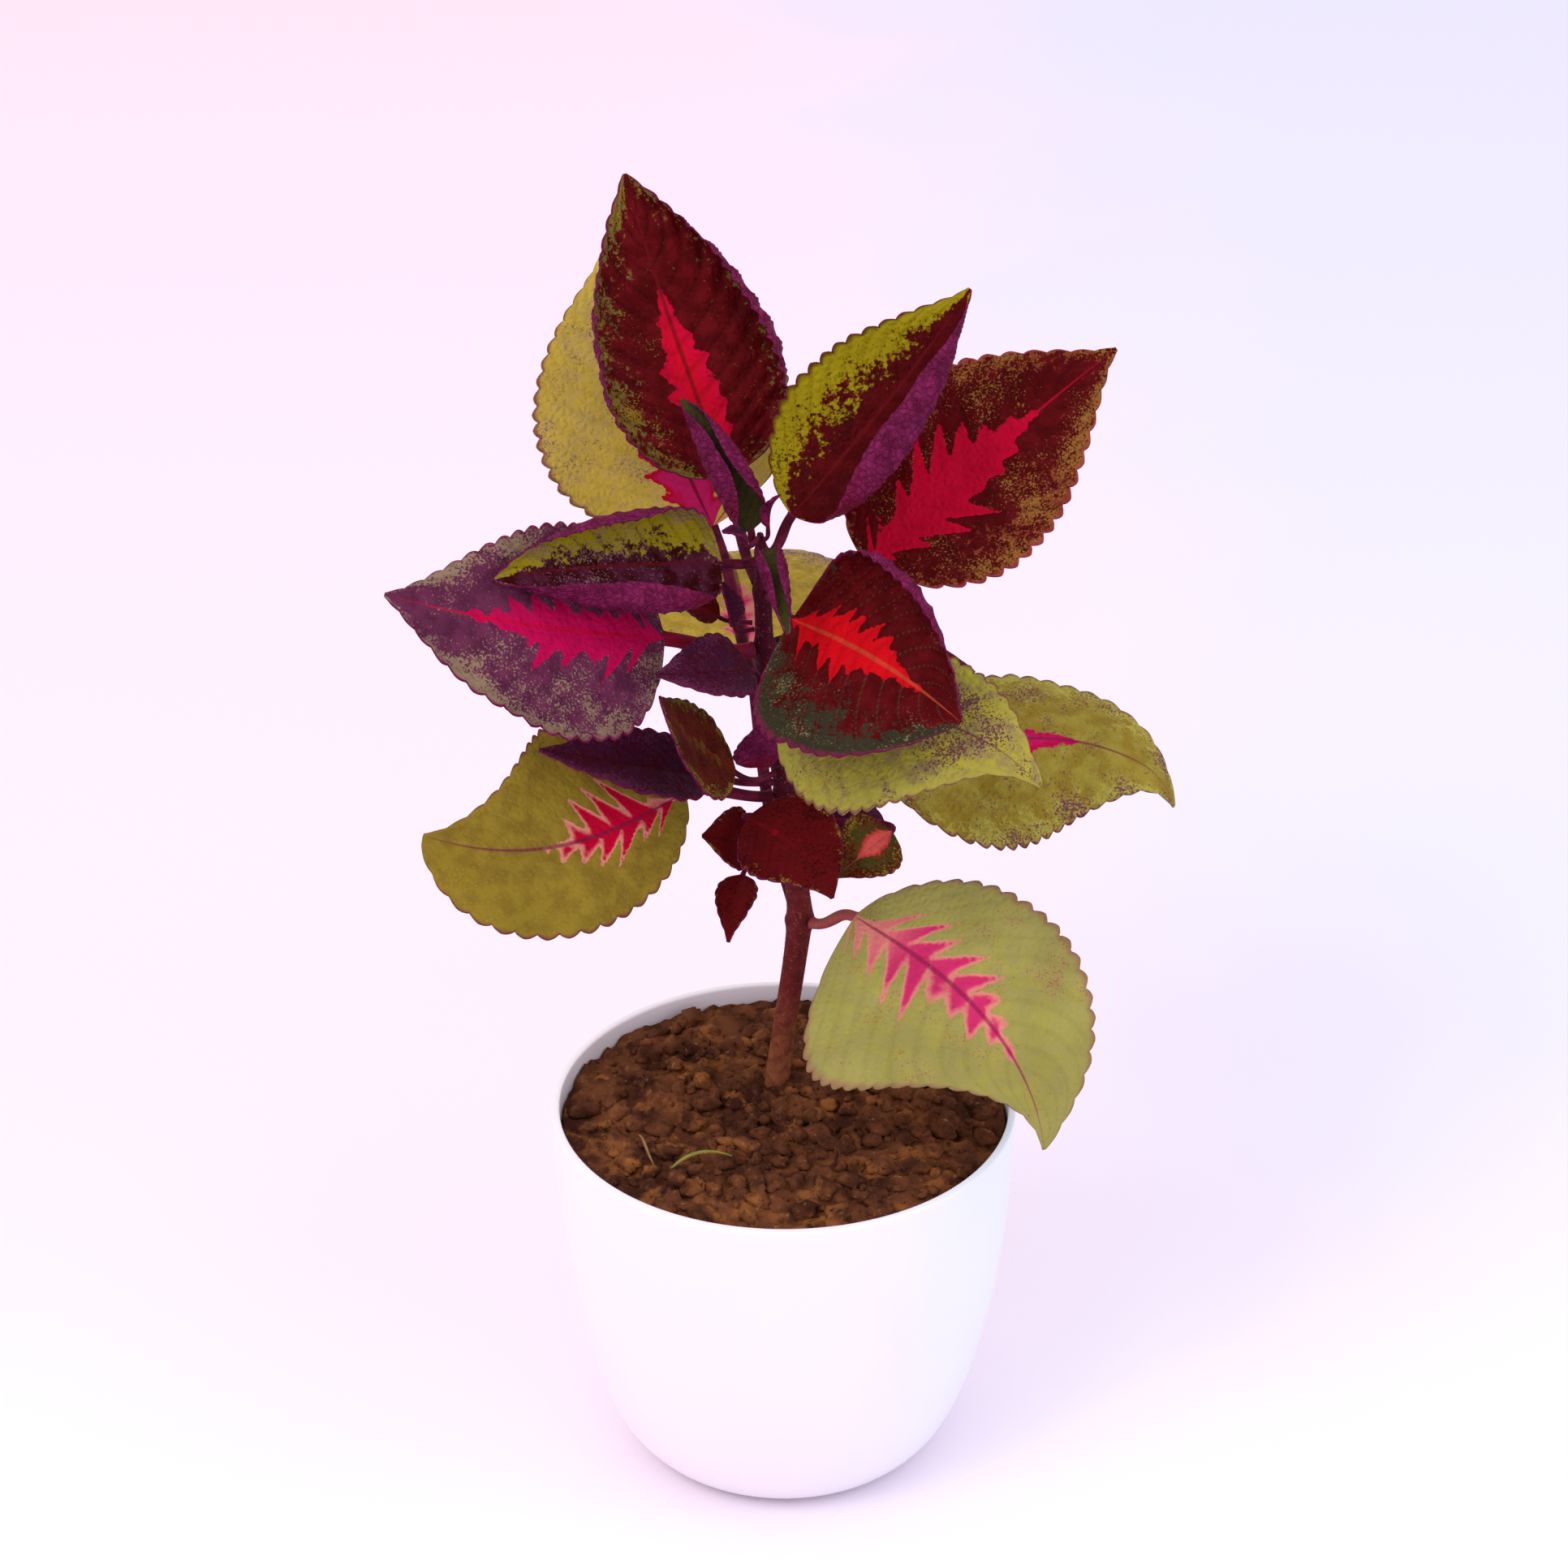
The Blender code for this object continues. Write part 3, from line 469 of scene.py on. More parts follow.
# Second colours laid on by noise: waves per metre, detail, roughness, the noise where
# the colour begins and is full, and how strong it then is. A layer has its colour first
UNDER_PATCHES = (260, 3, 0.6, 0.32, 0.68)
STALK_PATCHES = (240, 3, 0.5, 0.35, 0.68)
STALK_FLECKS = (1400, 2, 0.5, 0.6, 0.72, 0.4)
STALK_FLECK_LIGHT = 2.5
GRASS_STREAKS = (300, 3, 0.5, 0.3, 0.7)
GLAZE_LAYER = ((0.86, 0.83, 0.88), 14, 3, 0.5, 0.3, 0.7, 0.35)
STEM_LAYERS = [((0.06, 0.008, 0.014), 420, 3, 0.6, 0.45, 0.62, 0.45),
               ((0.34, 0.13, 0.09), 1500, 2, 0.5, 0.6, 0.7, 0.4)]
# The last soil layer is painted shade: near-black in the low places of the fine relief, from the
# same noise as SOIL_RELIEF. The orange layer before it lies on the high places of that relief
SOIL_LAYERS = [((0.15, 0.050, 0.022), 90, 4, 0.6, 0.35, 0.65),
               ((0.30, 0.105, 0.030), 130, 3, 0.5, 0.50, 0.72, 0.8),
               ((0.42, 0.21, 0.09), 520, 4, 0.7, 0.60, 0.74, 0.6),
               ((0.018, 0.007, 0.006), 520, 4, 0.7, 0.44, 0.3, 0.85)]

# Fine relief: waves per metre, detail, roughness, depth in metres and strength
LEAF_SKIN = (2600, 2, 0.5, 0.00008, 0.5)
UNDER_SKIN = (1500, 3, 0.5, 0.00012, 0.6)
STALK_SKIN = (1100, 3, 0.5, 0.0002, 0.5)
GLAZE_SKIN = (900, 2, 0.5, 0.00002, 0.3)
STEM_RIDGES = (420, 3, 0.5, 0.0003, 0.5)
STEM_SKIN = (1800, 2, 0.5, 0.0001, 0.5)
CLOD_RELIEF = (90, 4, 0.6, 0.002, 0.7)
SOIL_RELIEF = (520, 4, 0.7, 0.0008, 0.8)
GRASS_SKIN = (1200, 2, 0.5, 0.0001, 0.5)
PAPER_SKIN = (500, 3, 0.5, 0.0001, 0.3)

# Slow changes of colour: places in millimetres where they begin and are full, and the
# noise that shifts them, with its reach
# The pot's change from left to right is painted warm light turning to painted cool shade
GLAZE_PAINTED_COOL_SHADE_AT = (-10.0, 62.0)
GLAZE_POLISH, GLAZE_ROUGHNESS = (60, 3), (0.3, 0.7, 0.30, 0.40)
BARK_ENDS_AT = (96.0, 128.0)
STALK_COLOUR_AT = (150.0, 190.0)
STEM_DRIFT, STEM_DRIFT_MM = (60, 3), 30.0
# The paper's change from left to right is painted warm light turning to painted cool shade
PAPER_PAINTED_COOL_SHADE_AT = (-160.0, 260.0)
PAPER_FRONT_AT = (250.0, -150.0, 0.0, 0.8)
PAPER_DRIFT, PAPER_DRIFT_MM = (3.0, 2), 400.0


def unit(v):
    return v / np.linalg.norm(v)


def turned(v, axis, degrees):
    """v turned about a unit axis."""
    a = math.radians(degrees)
    return v * math.cos(a) + np.cross(axis, v) * math.sin(a) + axis * (axis @ v) * (1 - math.cos(a))


def bezier(p0, p1, p2, p3, u):
    v = 1 - u
    return v ** 3 * p0 + 3 * v * v * u * p1 + 3 * v * u * u * p2 + u ** 3 * p3


def heading(curve, u, step):
    return unit(bezier(*curve, min(u + step, 1.0)) - bezier(*curve, max(u - step, 0.0)))


def stem_at(height):
    """Centre and radius of the stem at a height."""
    rows = np.array(STEM)
    x, r = (np.interp(height, rows[:, 0], rows[:, k]) for k in (1, 2))
    return np.array([x, STEM_Y, height]), r


def ring_faces(first, rows, count, outward=True):
    """Quads between neighbouring rings of points."""
    faces = []
    for row in range(rows):
        a = first + row * count
        b = a + count
        for k in range(count):
            m = (k + 1) % count
            faces.append((a + k, a + m, b + m, b + k) if outward else (a + k, b + k, b + m, a + m))
    return faces


def add_mesh(name, points, faces, materials, slots=None, smooth=True):
    """A mesh object from points in millimetres."""
    mesh = bpy.data.meshes.new(name)
    mesh.from_pydata((np.array(points) * MM).tolist(), [], faces)
    mesh.polygons.foreach_set("use_smooth", np.full(len(faces), smooth))
    for material in materials:
        mesh.materials.append(material)
    if slots is not None:
        mesh.polygons.foreach_set("material_index", np.array(slots, np.int32))
    mesh.update()
    return add_object(name, mesh)


def add_object(name, data):
    made = bpy.data.objects.new(name, data)
    bpy.context.scene.collection.objects.link(made)
    return made


def part_of_plant(piece, node):
    """The piece rides on the body and takes the place of a node of the frame, which is hidden."""
    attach(piece, "root")
    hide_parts(node)


def tooth_wave(s, count):
    """Rounded teeth that lean to the tip: 0 in each notch and 1 on each tooth."""
    phase = (s * count) % 1.0
    rise = np.sin(np.clip(phase / TOOTH_LEAN, 0, 1) * math.pi / 2) ** TOOTH_RISE_POWER
    fall = np.clip((1.0 - phase) / (1 - TOOTH_LEAN), 0, 1) ** TOOTH_FALL_POWER
    return np.where(phase < TOOTH_LEAN, rise, fall)


def outline(s, bluntness):
    """Half width of a blade as a share of its widest place."""
    tip_power = TIP_POWER - bluntness
    peak = BASE_POWER / (BASE_POWER + tip_power)
    shape = (s / peak) ** BASE_POWER * ((1.0 - s) / (1.0 - peak)) ** tip_power
    return shape * (1 - TIP_PINCH * np.exp(-(1.0 - s) / TIP_PINCH_LENGTH))


def vein_root(s, share):
    """Where on the midrib the side vein through a place begins."""
    return s - VEIN_LEAN * abs(share) - VEIN_CURVE * share * share


def from_vein(s, share):
    """0 on each side vein and 1 midway between two."""
    stagger = VEIN_STAGGER * VEIN_STEP if share < 0 else 0.0
    phase = (vein_root(s, share) + stagger) / VEIN_STEP % 1.0
    return np.minimum(phase, 1 - phase) * 2


class Leaf:
    """One blade as a formula: midrib curve, frame along it and curved cross-section."""

    def __init__(self, row):
        (self.name, self.node, base, tip, self.arch, self.bow, self.hook, turn, self.left,
         self.right, self.fold, self.curl, self.roll_left, self.roll_right, self.roll_width,
         self.blunt_left, self.blunt_right, self.teeth, self.stalk, _) = row
        self.base = np.array(base, float)
        self.chord = np.array(tip, float) - self.base
        self.length = np.linalg.norm(self.chord)
        along = unit(self.chord)
        level = unit(np.array([0, 0, 1.0]) - along * along[2])
        self.up = turned(level, along, turn)
        self.side = np.cross(along, self.up)

    def midrib(self, s):
        """Points on the midrib, from 0 at the base to 1 at the tip."""
        s = np.atleast_1d(s)[:, None]
        rise = 4 * s * (1 - s) * (1 + ARCH_LEAN * (s - 0.5))
        hooked = (np.clip(s - HOOK_START, 0, 1) / (1 - HOOK_START)) ** 2 * self.hook
        offset = rise * (self.arch * self.up + self.bow * self.side)
        return self.base + s * self.chord + offset - hooked * self.up

    def frames(self, s):
        """Tangent, side and normal at each s."""
        step = 1e-3
        t = self.midrib(np.clip(s + step, 0, 1)) - self.midrib(np.clip(s - step, 0, 1))
        t /= np.linalg.norm(t, axis=1)[:, None]
        n = self.up - t * (t @ self.up)[:, None]
        n /= np.linalg.norm(n, axis=1)[:, None]
        return t, np.cross(t, n), n

    def reach(self, share, s):
        """Distance from the midrib along the blade, teeth included near the margin."""
        width = self.left if share < 0 else self.right
        shape = outline(s, self.blunt_left if share < 0 else self.blunt_right)
        tooth = TOOTH_DEPTH * self.length * tooth_wave(s, self.teeth) * shape ** TOOTH_TAPER
        tooth *= np.clip((abs(share) - 1 + TOOTH_BAND) / TOOTH_BAND, 0, 1) ** 2
        full = np.sqrt((width * shape + tooth) ** 2 + (self.stalk * (1.0 - s)) ** 2)
        return (full + TIP_HALF_WIDTH * s) * abs(share)

    def column(self, share, s):
        """Points and normals along the line at one signed share of the half width."""
        sign = -1.0 if share < 0 else 1.0
        roll = self.roll_left if share < 0 else self.roll_right
        start = 1.0 - self.roll_width / (self.left if share < 0 else self.right)
        _, side, n = self.frames(s)
        soft = np.sqrt(np.sin(np.pi * np.clip(s, 0, 1)))
        out, rise, angle = np.zeros((3, len(s)))
        step = self.reach(share, s) / CURVE_STEPS
        for k in range(CURVE_STEPS):
            u = (k + 0.5) / CURVE_STEPS * abs(share)
            rolled = min(max((u - start) / (1 - start), 0), 1)
            angle = np.radians(self.fold + self.curl * u * u + roll * rolled) * soft
            out += np.cos(angle) * step
            rise += np.sin(angle) * step
        place = self.midrib(s) + sign * out[:, None] * side + rise[:, None] * n
        normal = n * np.cos(angle)[:, None] - sign * side * np.sin(angle)[:, None]
        return place, normal

    def stalk_curve(self):
        """Control points of the stalk from the stem to the blade."""
        centre, radius = stem_at(self.node)
        away = self.base - centre
        away[2] *= STALK_SLOPE
        away = unit(away)
        start = centre + away * (radius + GAP + STALK_REACH)
        span = np.linalg.norm(self.base - start)
        tangent = self.frames(np.array([0.0]))[0][0]
        return (start, start + away * span * STALK_OUT, self.base - tangent * span * STALK_IN,
                self.base)


def blade_sheet(leaf, share, s, cushion, shift):
    """Upper and lower line of the blade at one share of its half width, with its relief."""
    place, normal = leaf.column(share, s)
    off_vein = from_vein(s, share)
    inward = 1 - abs(share)
    size = min(1.0, leaf.length / FULL_RELIEF)
    bulge = (1 - (1 - off_vein) ** CUSHION_POWER) * np.clip(np.sin(np.pi * s) * CUSHION_ENDS, 0, 1)
    bulge *= (np.clip(abs(share) * CUSHION_INNER, 0, 1)
              * np.clip(inward * CUSHION_OUTER + CUSHION_RIM, 0, 1))
    bulge *= (CUSHION_MEAN + CUSHION_CHANGE * np.sin(CUSHION_ALONG * s + shift)
              * math.cos(CUSHION_ACROSS * share + shift))
    groove = math.exp(-(share * leaf.left / GROOVE_SPREAD) ** 2)
    wave = np.sin(s * WAVES + shift) * abs(share) ** WAVE_POWER * np.sin(np.pi * s) * WAVE
    root = np.clip(1 - s / ROOT_LENGTH, 0, 1) ** 2
    lift = (size * cushion * (CUSHION * bulge - CUSHION_SINK) - GROOVE * groove * (1 - s)
            + wave * size)
    lift *= 1 - root
    rib = (RIB * math.exp(-(share * leaf.left / RIB_SPREAD) ** 2) * (1 - RIB_TAPER * s)
           + VEIN_RIB * (1 - off_vein) ** VEIN_RIB_POWER)
    under = BLADE / 2 + size * rib + ROOT_DEPTH * leaf.stalk * root * inward
    return place + normal * (lift + BLADE / 2)[:, None], place + normal * (lift - under)[:, None]


def core_field(share, s, look, lengths):
    """Above 0 inside the coloured middle patch, whose fingers run out along the side veins."""
    if look["end"] == 0:
        return np.full(len(s), -abs(share) - NO_CORE)
    number = np.floor(vein_root(s, share) / VEIN_STEP + FINGER_SHIFT).astype(int)
    finger = lengths[number % FINGER_COUNT + (FINGER_COUNT if share < 0 else 0)]
    fade = np.clip(1 - (s / look["end"]) ** CORE_FADE, -1, 1)
    fingers = (look["finger"] * finger * (1 - from_vein(s, share)) ** FINGER_POWER
               * np.clip(fade, 0, 1) ** FINGER_FADE)
    turn = np.clip(s / look["end"], 0, 1) * CORE_SPAN + CORE_START
    body = look["width"] * np.clip(np.sin(turn), CORE_LEAST, 1)
    return body + fingers - abs(share) + np.minimum(fade, 0) * CORE_BEYOND


def stalk_rings(leaf, count):
    """Rings of points from the base of the blade to just off the stem."""
    curve = leaf.stalk_curve()
    up = leaf.frames(np.array([0.0]))[2][0]
    columns = count // 2
    half = math.pi / (2 * columns)
    upper = np.linspace(math.pi, 0, columns) * (1 - half / math.pi) + half / 2
    lower = np.linspace(0, -math.pi, columns) * (1 - half / math.pi) - half / 2
    angles = np.concatenate([upper, lower])
    rings = []
    for k in range(1, STALK_RINGS + 1):
        u = 1 - k / STALK_RINGS
        along = heading(curve, u, 0.01)
        side = unit(np.cross(along, up))
        normal = np.cross(side, along)
        r = leaf.stalk * (1.0 + STALK_FLARE * (k == STALK_RINGS)
                          - STALK_SWELL * math.sin(STALK_TURN * u))
        lift = STALK_HEIGHT * np.sin(angles) - STALK_SINK * u
        ring = np.cos(angles)[:, None] * side + lift[:, None] * normal
        rings.append(bezier(*curve, u) + r * ring)
    return rings


def fine_leaf(row, grid, look, materials):
    """Blade and stalk as one closed mesh, with the fields that its shaders read."""
    leaf = Leaf(row)
    rows, cols = grid
    s = np.linspace(0, 1, rows) ** ROW_POWER
    even = np.linspace(-1, 1, cols)
    shares = np.sign(even) * (1 - (1 - np.abs(even)) ** COLUMN_POWER)
    rng = random.Random(leaf.name + str(SEED))
    shift = rng.uniform(0, RELIEF_SHIFT)
    lengths = np.array([rng.uniform(*FINGER_LENGTHS) for _ in range(2 * FINGER_COUNT)])
    sheets = [blade_sheet(leaf, share, s, look["cushion"], shift + SIDE_SHIFT * (share < 0))
              for share in shares]
    fields = {
        "core": [core_field(share, s, look, lengths) for share in shares],
        "rim": [np.full(rows, 1 - abs(share)) for share in shares],
        "vein": [1 - from_vein(s, share) for share in shares],
        "along": [s for _ in shares],
        "side_at": [np.full(rows, share) for share in shares],
    }
    # Numbers of the points of the upper sheet, a, and of the lower one, b
    a = np.arange(cols * rows).reshape(cols, rows)
    b = a + cols * rows
    upper = np.stack([a[:-1, :-1], a[1:, :-1], a[1:, 1:], a[:-1, 1:]], -1).reshape(-1, 4)
    edges = np.concatenate([
        np.stack([b[0, :-1], a[0, :-1], a[0, 1:], b[0, 1:]], -1),
        np.stack([a[-1, :-1], b[-1, :-1], b[-1, 1:], a[-1, 1:]], -1),
        np.stack([a[:-1, -1], a[1:, -1], b[1:, -1], b[:-1, -1]], -1)])
    rings = stalk_rings(leaf, 2 * cols)
    previous = np.concatenate([a[:, 0], b[::-1, 0]])
    stalk = []
    for k in range(len(rings)):
        now = 2 * cols * (rows + k) + np.arange(2 * cols)
        stalk.append(np.stack([np.roll(previous, -1), previous, now, np.roll(now, -1)], -1))
        previous = now
    stalk = np.concatenate(stalk)
    lines = [sheet[0] for sheet in sheets] + [sheet[1] for sheet in sheets] + rings
    faces = np.concatenate([upper, upper[:, ::-1] + cols * rows, edges, stalk]).tolist()
    faces.append(previous[::-1].tolist())
    slots = [0] * len(upper) + [1] * (len(upper) + len(edges)) + [2] * (len(stalk) + 1)
    made = add_mesh(leaf.name + "_fine", np.concatenate(lines), faces, materials, slots)
    for name, field in fields.items():
        flat = np.concatenate(field)
        values = np.concatenate([flat, flat, np.zeros(2 * cols * STALK_RINGS)])
        layer = made.data.attributes.new(name, "FLOAT", "POINT")
        layer.data.foreach_set("value", values.astype(np.float32))
    return made


class Nodes:
    """Short way to build a shader tree."""

    def __init__(self, name):
        self.material = bpy.data.materials.new(name)
        self.material.use_nodes = True
        self.nodes = self.material.node_tree.nodes

    def set(self, inputs, values):
        """Numbers, colours or links into the sockets."""
        for name, value in values.items():
            socket = inputs[name]
            if isinstance(value, tuple):
                socket.default_value = (*value, 1.0)
            elif isinstance(value, (int, float)):
                socket.default_value = value
            else:
                self.material.node_tree.links.new(value, socket)

    def add(self, kind, output, inputs, **settings):
        """Output of a new node."""
        node = self.nodes.new(kind)
        for key, value in settings.items():
            setattr(node, key, value)
        self.set(node.inputs, inputs)
        return node.outputs[output]

    def finish(self, colour, normal, roughness, specular):
        self.set(self.nodes["Principled BSDF"].inputs, {
            "Base Color": colour, "Normal": normal, "Roughness": roughness,
            "Specular IOR Level": specular})
        return self.material

    def field(self, name):
        """A field of the mesh."""
        return self.add("ShaderNodeAttribute", "Fac", {}, attribute_name=name)

    def math(self, operation, a, b=0.0):
        return self.add("ShaderNodeMath", 0, {0: a, 1: b}, operation=operation)

    def sum(self, values, weights):
        total = 0.0
        for value, weight in zip(values, weights):
            total = self.math("ADD", total, self.math("MULTIPLY", value, weight))
        return total

    def ramp(self, value, low, high, to_low=0.0, to_high=1.0):
        """Smooth step of a value from low to high."""
        return self.add("ShaderNodeMapRange", 0, {
            "Value": value, "From Min": low, "From Max": high, "To Min": to_low,
            "To Max": to_high}, interpolation_type="SMOOTHSTEP")

    def mix(self, factor, a, b, blend="MIX"):
        return self.add("ShaderNodeMix", 2, {"Factor": factor, 6: a, 7: b},
                        data_type="RGBA", blend_type=blend)

    def shade(self, strength, body, where, shades):
        """The body made darker or lighter from one shade to another."""
        tone = self.mix(where, *((shade, shade, shade) for shade in shades))
        return self.mix(strength, body, tone, "MULTIPLY")

    def place(self):
        return self.add("ShaderNodeTexCoord", "Object", {})

    def axis(self, name):
        """Position along one axis, in millimetres."""
        place = self.add("ShaderNodeSeparateXYZ", name, {0: self.place()})
        return self.math("MULTIPLY", place, 1 / MM)

    def noise(self, scale, detail, roughness=0.5):
        return self.add("ShaderNodeTexNoise", "Fac", {
            "Scale": scale, "Detail": detail, "Roughness": roughness, "Vector": self.place()})

    def spread(self, *settings):
        """Noise about 0, from -0.5 to 0.5."""
        return self.math("SUBTRACT", self.noise(*settings), 0.5)

    def laid_on(self, body, colour, scale, detail, roughness, low, high, strength=1.0):
        """The body with a second colour over it, where noise says."""
        where = self.ramp(self.noise(scale, detail, roughness), low, high, 0.0, strength)
        return self.mix(where, body, colour)

    def cells(self, scale):
        """Distance from the nearest edge of irregular cells."""
        return self.add("ShaderNodeTexVoronoi", "Distance", {
            "Scale": scale, "Vector": self.place()}, feature="DISTANCE_TO_EDGE")

    def bump(self, height, depth, strength, under=None):
        inputs = {"Strength": strength, "Distance": depth, "Height": height}
        return self.add("ShaderNodeBump", 0, {**inputs, "Normal": under} if under else inputs)

    def skin(self, scale, detail, roughness, depth, strength, under=None):
        """Bump from noise."""
        return self.bump(self.noise(scale, detail, roughness), depth, strength, under)


def upper_material(name, look):
    """Upper side of a blade, from its look and the fields of its mesh."""
    n = Nodes(name + "_upper")
    core, rim, vein, along, side = (n.field(f) for f in ("core", "rim", "vein", "along", "side_at"))
    blotch, grain = n.spread(*BLOTCH), n.spread(*GRAIN)
    # How far a place is inside the margin colour
    amount = n.ramp(side, *SIDE_LIMITS, look["left"], look["right"])
    near_rim = n.math("SUBTRACT", 1.0, rim)
    pull = n.sum((near_rim, amount, blotch, vein, along), BAND_WEIGHTS)
    ragged = n.sum((pull, grain), (1.0, RAGGED * look["ragged"]))
    patches = n.ramp(n.spread(*PATCH), *PATCH_LIMITS, 0.0, look["patches"])
    body = n.mix(patches, look["field"], look["field_light"])
    body = n.mix(n.ramp(ragged, *BAND_LIMITS), body, look["band"])
    # Fine dots, in drifts
    rim_weight, drift_weight = DRIFT_WEIGHTS
    cover = n.sum((n.ramp(pull, *DRIFT_LIMITS), n.spread(*DRIFT)),
                  (look["rim_cover"] * rim_weight, drift_weight))
    dots = n.sum((n.spread(*DOT), cover, look["cover"]), DOT_WEIGHTS)
    body = n.mix(n.ramp(dots, *DOT_LIMITS), body, look["speck"])
    veins = n.sum((vein, blotch, grain), VEIN_WEIGHTS)
    body = n.mix(n.ramp(veins, *VEIN_LIMITS, 0.0, look["vein_strength"]), body, look["vein"])
    edge = n.sum((rim, blotch, grain), (1.0, *(look["edge_width"] * w for w in EDGE_WEIGHTS)))
    body = n.mix(n.ramp(edge, 0.0, look["edge_width"], EDGE_STRENGTH, 0.0), body, look["edge"])
    # Jagged middle patch, with the finest nicks from noise
    jagged = n.sum((core, n.spread(*NICK), n.spread(*JAG)), CORE_WEIGHTS)
    begun = n.ramp(along, look["begin"], look["begin"] + BRIGHT_LENGTH)
    bright = n.math("MULTIPLY", n.ramp(jagged, *BRIGHT_LIMITS), begun)
    hot = n.mix(bright, look["core_edge"], look["core"])
    body = n.mix(n.ramp(jagged, *CORE_LIMITS), body, hot)
    body = n.mix(n.ramp(n.math("ABSOLUTE", side), *MIDRIB_LIMITS), body, look["midrib"])
    body = n.shade(SHADE_STRENGTH, body, n.noise(*SHADE), SHADES)
    # Painted shade darkens the valleys on the veins and painted light brightens the cushions
    # between them; its strength follows the cushion
    depth = VALLEY_PAINTED_SHADE_STRENGTH * min(look["cushion"], MOST_CUSHION)
    body = n.shade(depth, body, n.ramp(vein, *VALLEY_PAINTED_SHADE_LIMITS), VALLEY_PAINTED_SHADE_TONES)
    quilt = n.bump(n.ramp(n.cells(UPPER_CELLS), *UPPER_CELL_LIMITS), *UPPER_CELL_BUMP)
    return n.finish(body, n.skin(*LEAF_SKIN, under=quilt),
                    roughness=n.ramp(grain, *UPPER_ROUGHNESS), specular=0.03)


def under_material(name, dark, light, warm, vein_colour):
    """Underside of a blade, quilted between its finest veins."""
    n = Nodes(name + "_under")
    body = n.laid_on(dark, light, *UNDER_PATCHES)
    body = n.mix(n.ramp(n.field("along"), *UNDER_WARM_LIMITS), body, warm)
    body = n.mix(n.ramp(n.field("vein"), *UNDER_VEIN_LIMITS), body, vein_colour)
    body = n.mix(n.ramp(n.field("rim"), *UNDER_RIM_LIMITS), body, light)
    fine_vein = n.ramp(n.cells(UNDER_CELLS), *UNDER_CELL_LIMITS)
    body = n.mix(n.math("MULTIPLY", fine_vein, UNDER_CELL_MIX), body,
                 tuple(UNDER_CELL_LIGHT * c for c in light))
    quilt = n.bump(fine_vein, *UNDER_CELL_BUMP)
    return n.finish(body, n.skin(*UNDER_SKIN, under=quilt), roughness=0.58, specular=0.05)


def stalk_material(name, colour, other):
    n = Nodes(name)
    body = n.laid_on(colour, other, *STALK_PATCHES)
    body = n.laid_on(body, tuple(min(1, STALK_FLECK_LIGHT * c) for c in colour), *STALK_FLECKS)
    return n.finish(body, n.skin(*STALK_SKIN), roughness=0.55, specular=0.05)


def dress_leaves():
    """All leaves. A large one has a look of its own, and a small one that of its kind."""
    unders = {slot: under_material(slot, *colours) for slot, colours in UNDERS.items()}
    stalks = {name: stalk_material(name, *colours) for name, colours in STALKS.items()}
    uppers = {}
    for row, grid in [(row, LARGE_GRID) for row in LARGE] + [(row, SMALL_GRID) for row in SMALL]:
        name, kind = row[0], row[-1]
        key = name if name in LOOKS else kind
        look = {**PLAIN_LOOK, **LOOKS[key]}
        if key not in uppers:
            uppers[key] = upper_material(key, look)
        slot = "green_leaf" if kind == "green" else "dark_leaf"
        stalk = stalks[OTHER_STALKS.get(name, "dark_stalk")]
        piece = fine_leaf(row, grid, look, [uppers[key], unders[slot], stalk])
        part_of_plant(piece, name)


def circle(radius, height, count, x=0.0, y=0.0):
    turns = [2 * math.pi * k / count for k in range(count)]
    return [(x + radius * math.cos(a), y + radius * math.sin(a), height) for a in turns]


def smooth_rows(rows, steps):
    """The rows with a smooth curve through them."""
    p = [np.array(row, float) for row in rows]
    p = [2 * p[0] - p[1]] + p + [2 * p[-1] - p[-2]]
    made = []
    for a, b, c, d in zip(p, p[1:], p[2:], p[3:]):
        for k in range(steps):
            u = k / steps
            made.append(0.5 * (2 * b + (c - a) * u + (2 * a - 5 * b + 4 * c - d) * u * u
                               + (3 * b - a - 3 * c + d) * u ** 3))
    return made + [p[-2]]


def pot_material():
    n = Nodes("pot_glaze")
    # Painted warm light on the left of the pot turning to painted cool shade on the right
    body = n.mix(n.ramp(n.axis("X"), *GLAZE_PAINTED_COOL_SHADE_AT), GLAZE_PAINTED_WARM_LIGHT, GLAZE_PAINTED_COOL_SHADE)
    body = n.laid_on(body, *GLAZE_LAYER)
    return n.finish(body, n.skin(*GLAZE_SKIN),
                    roughness=n.ramp(n.noise(*GLAZE_POLISH), *GLAZE_ROUGHNESS), specular=0.4)


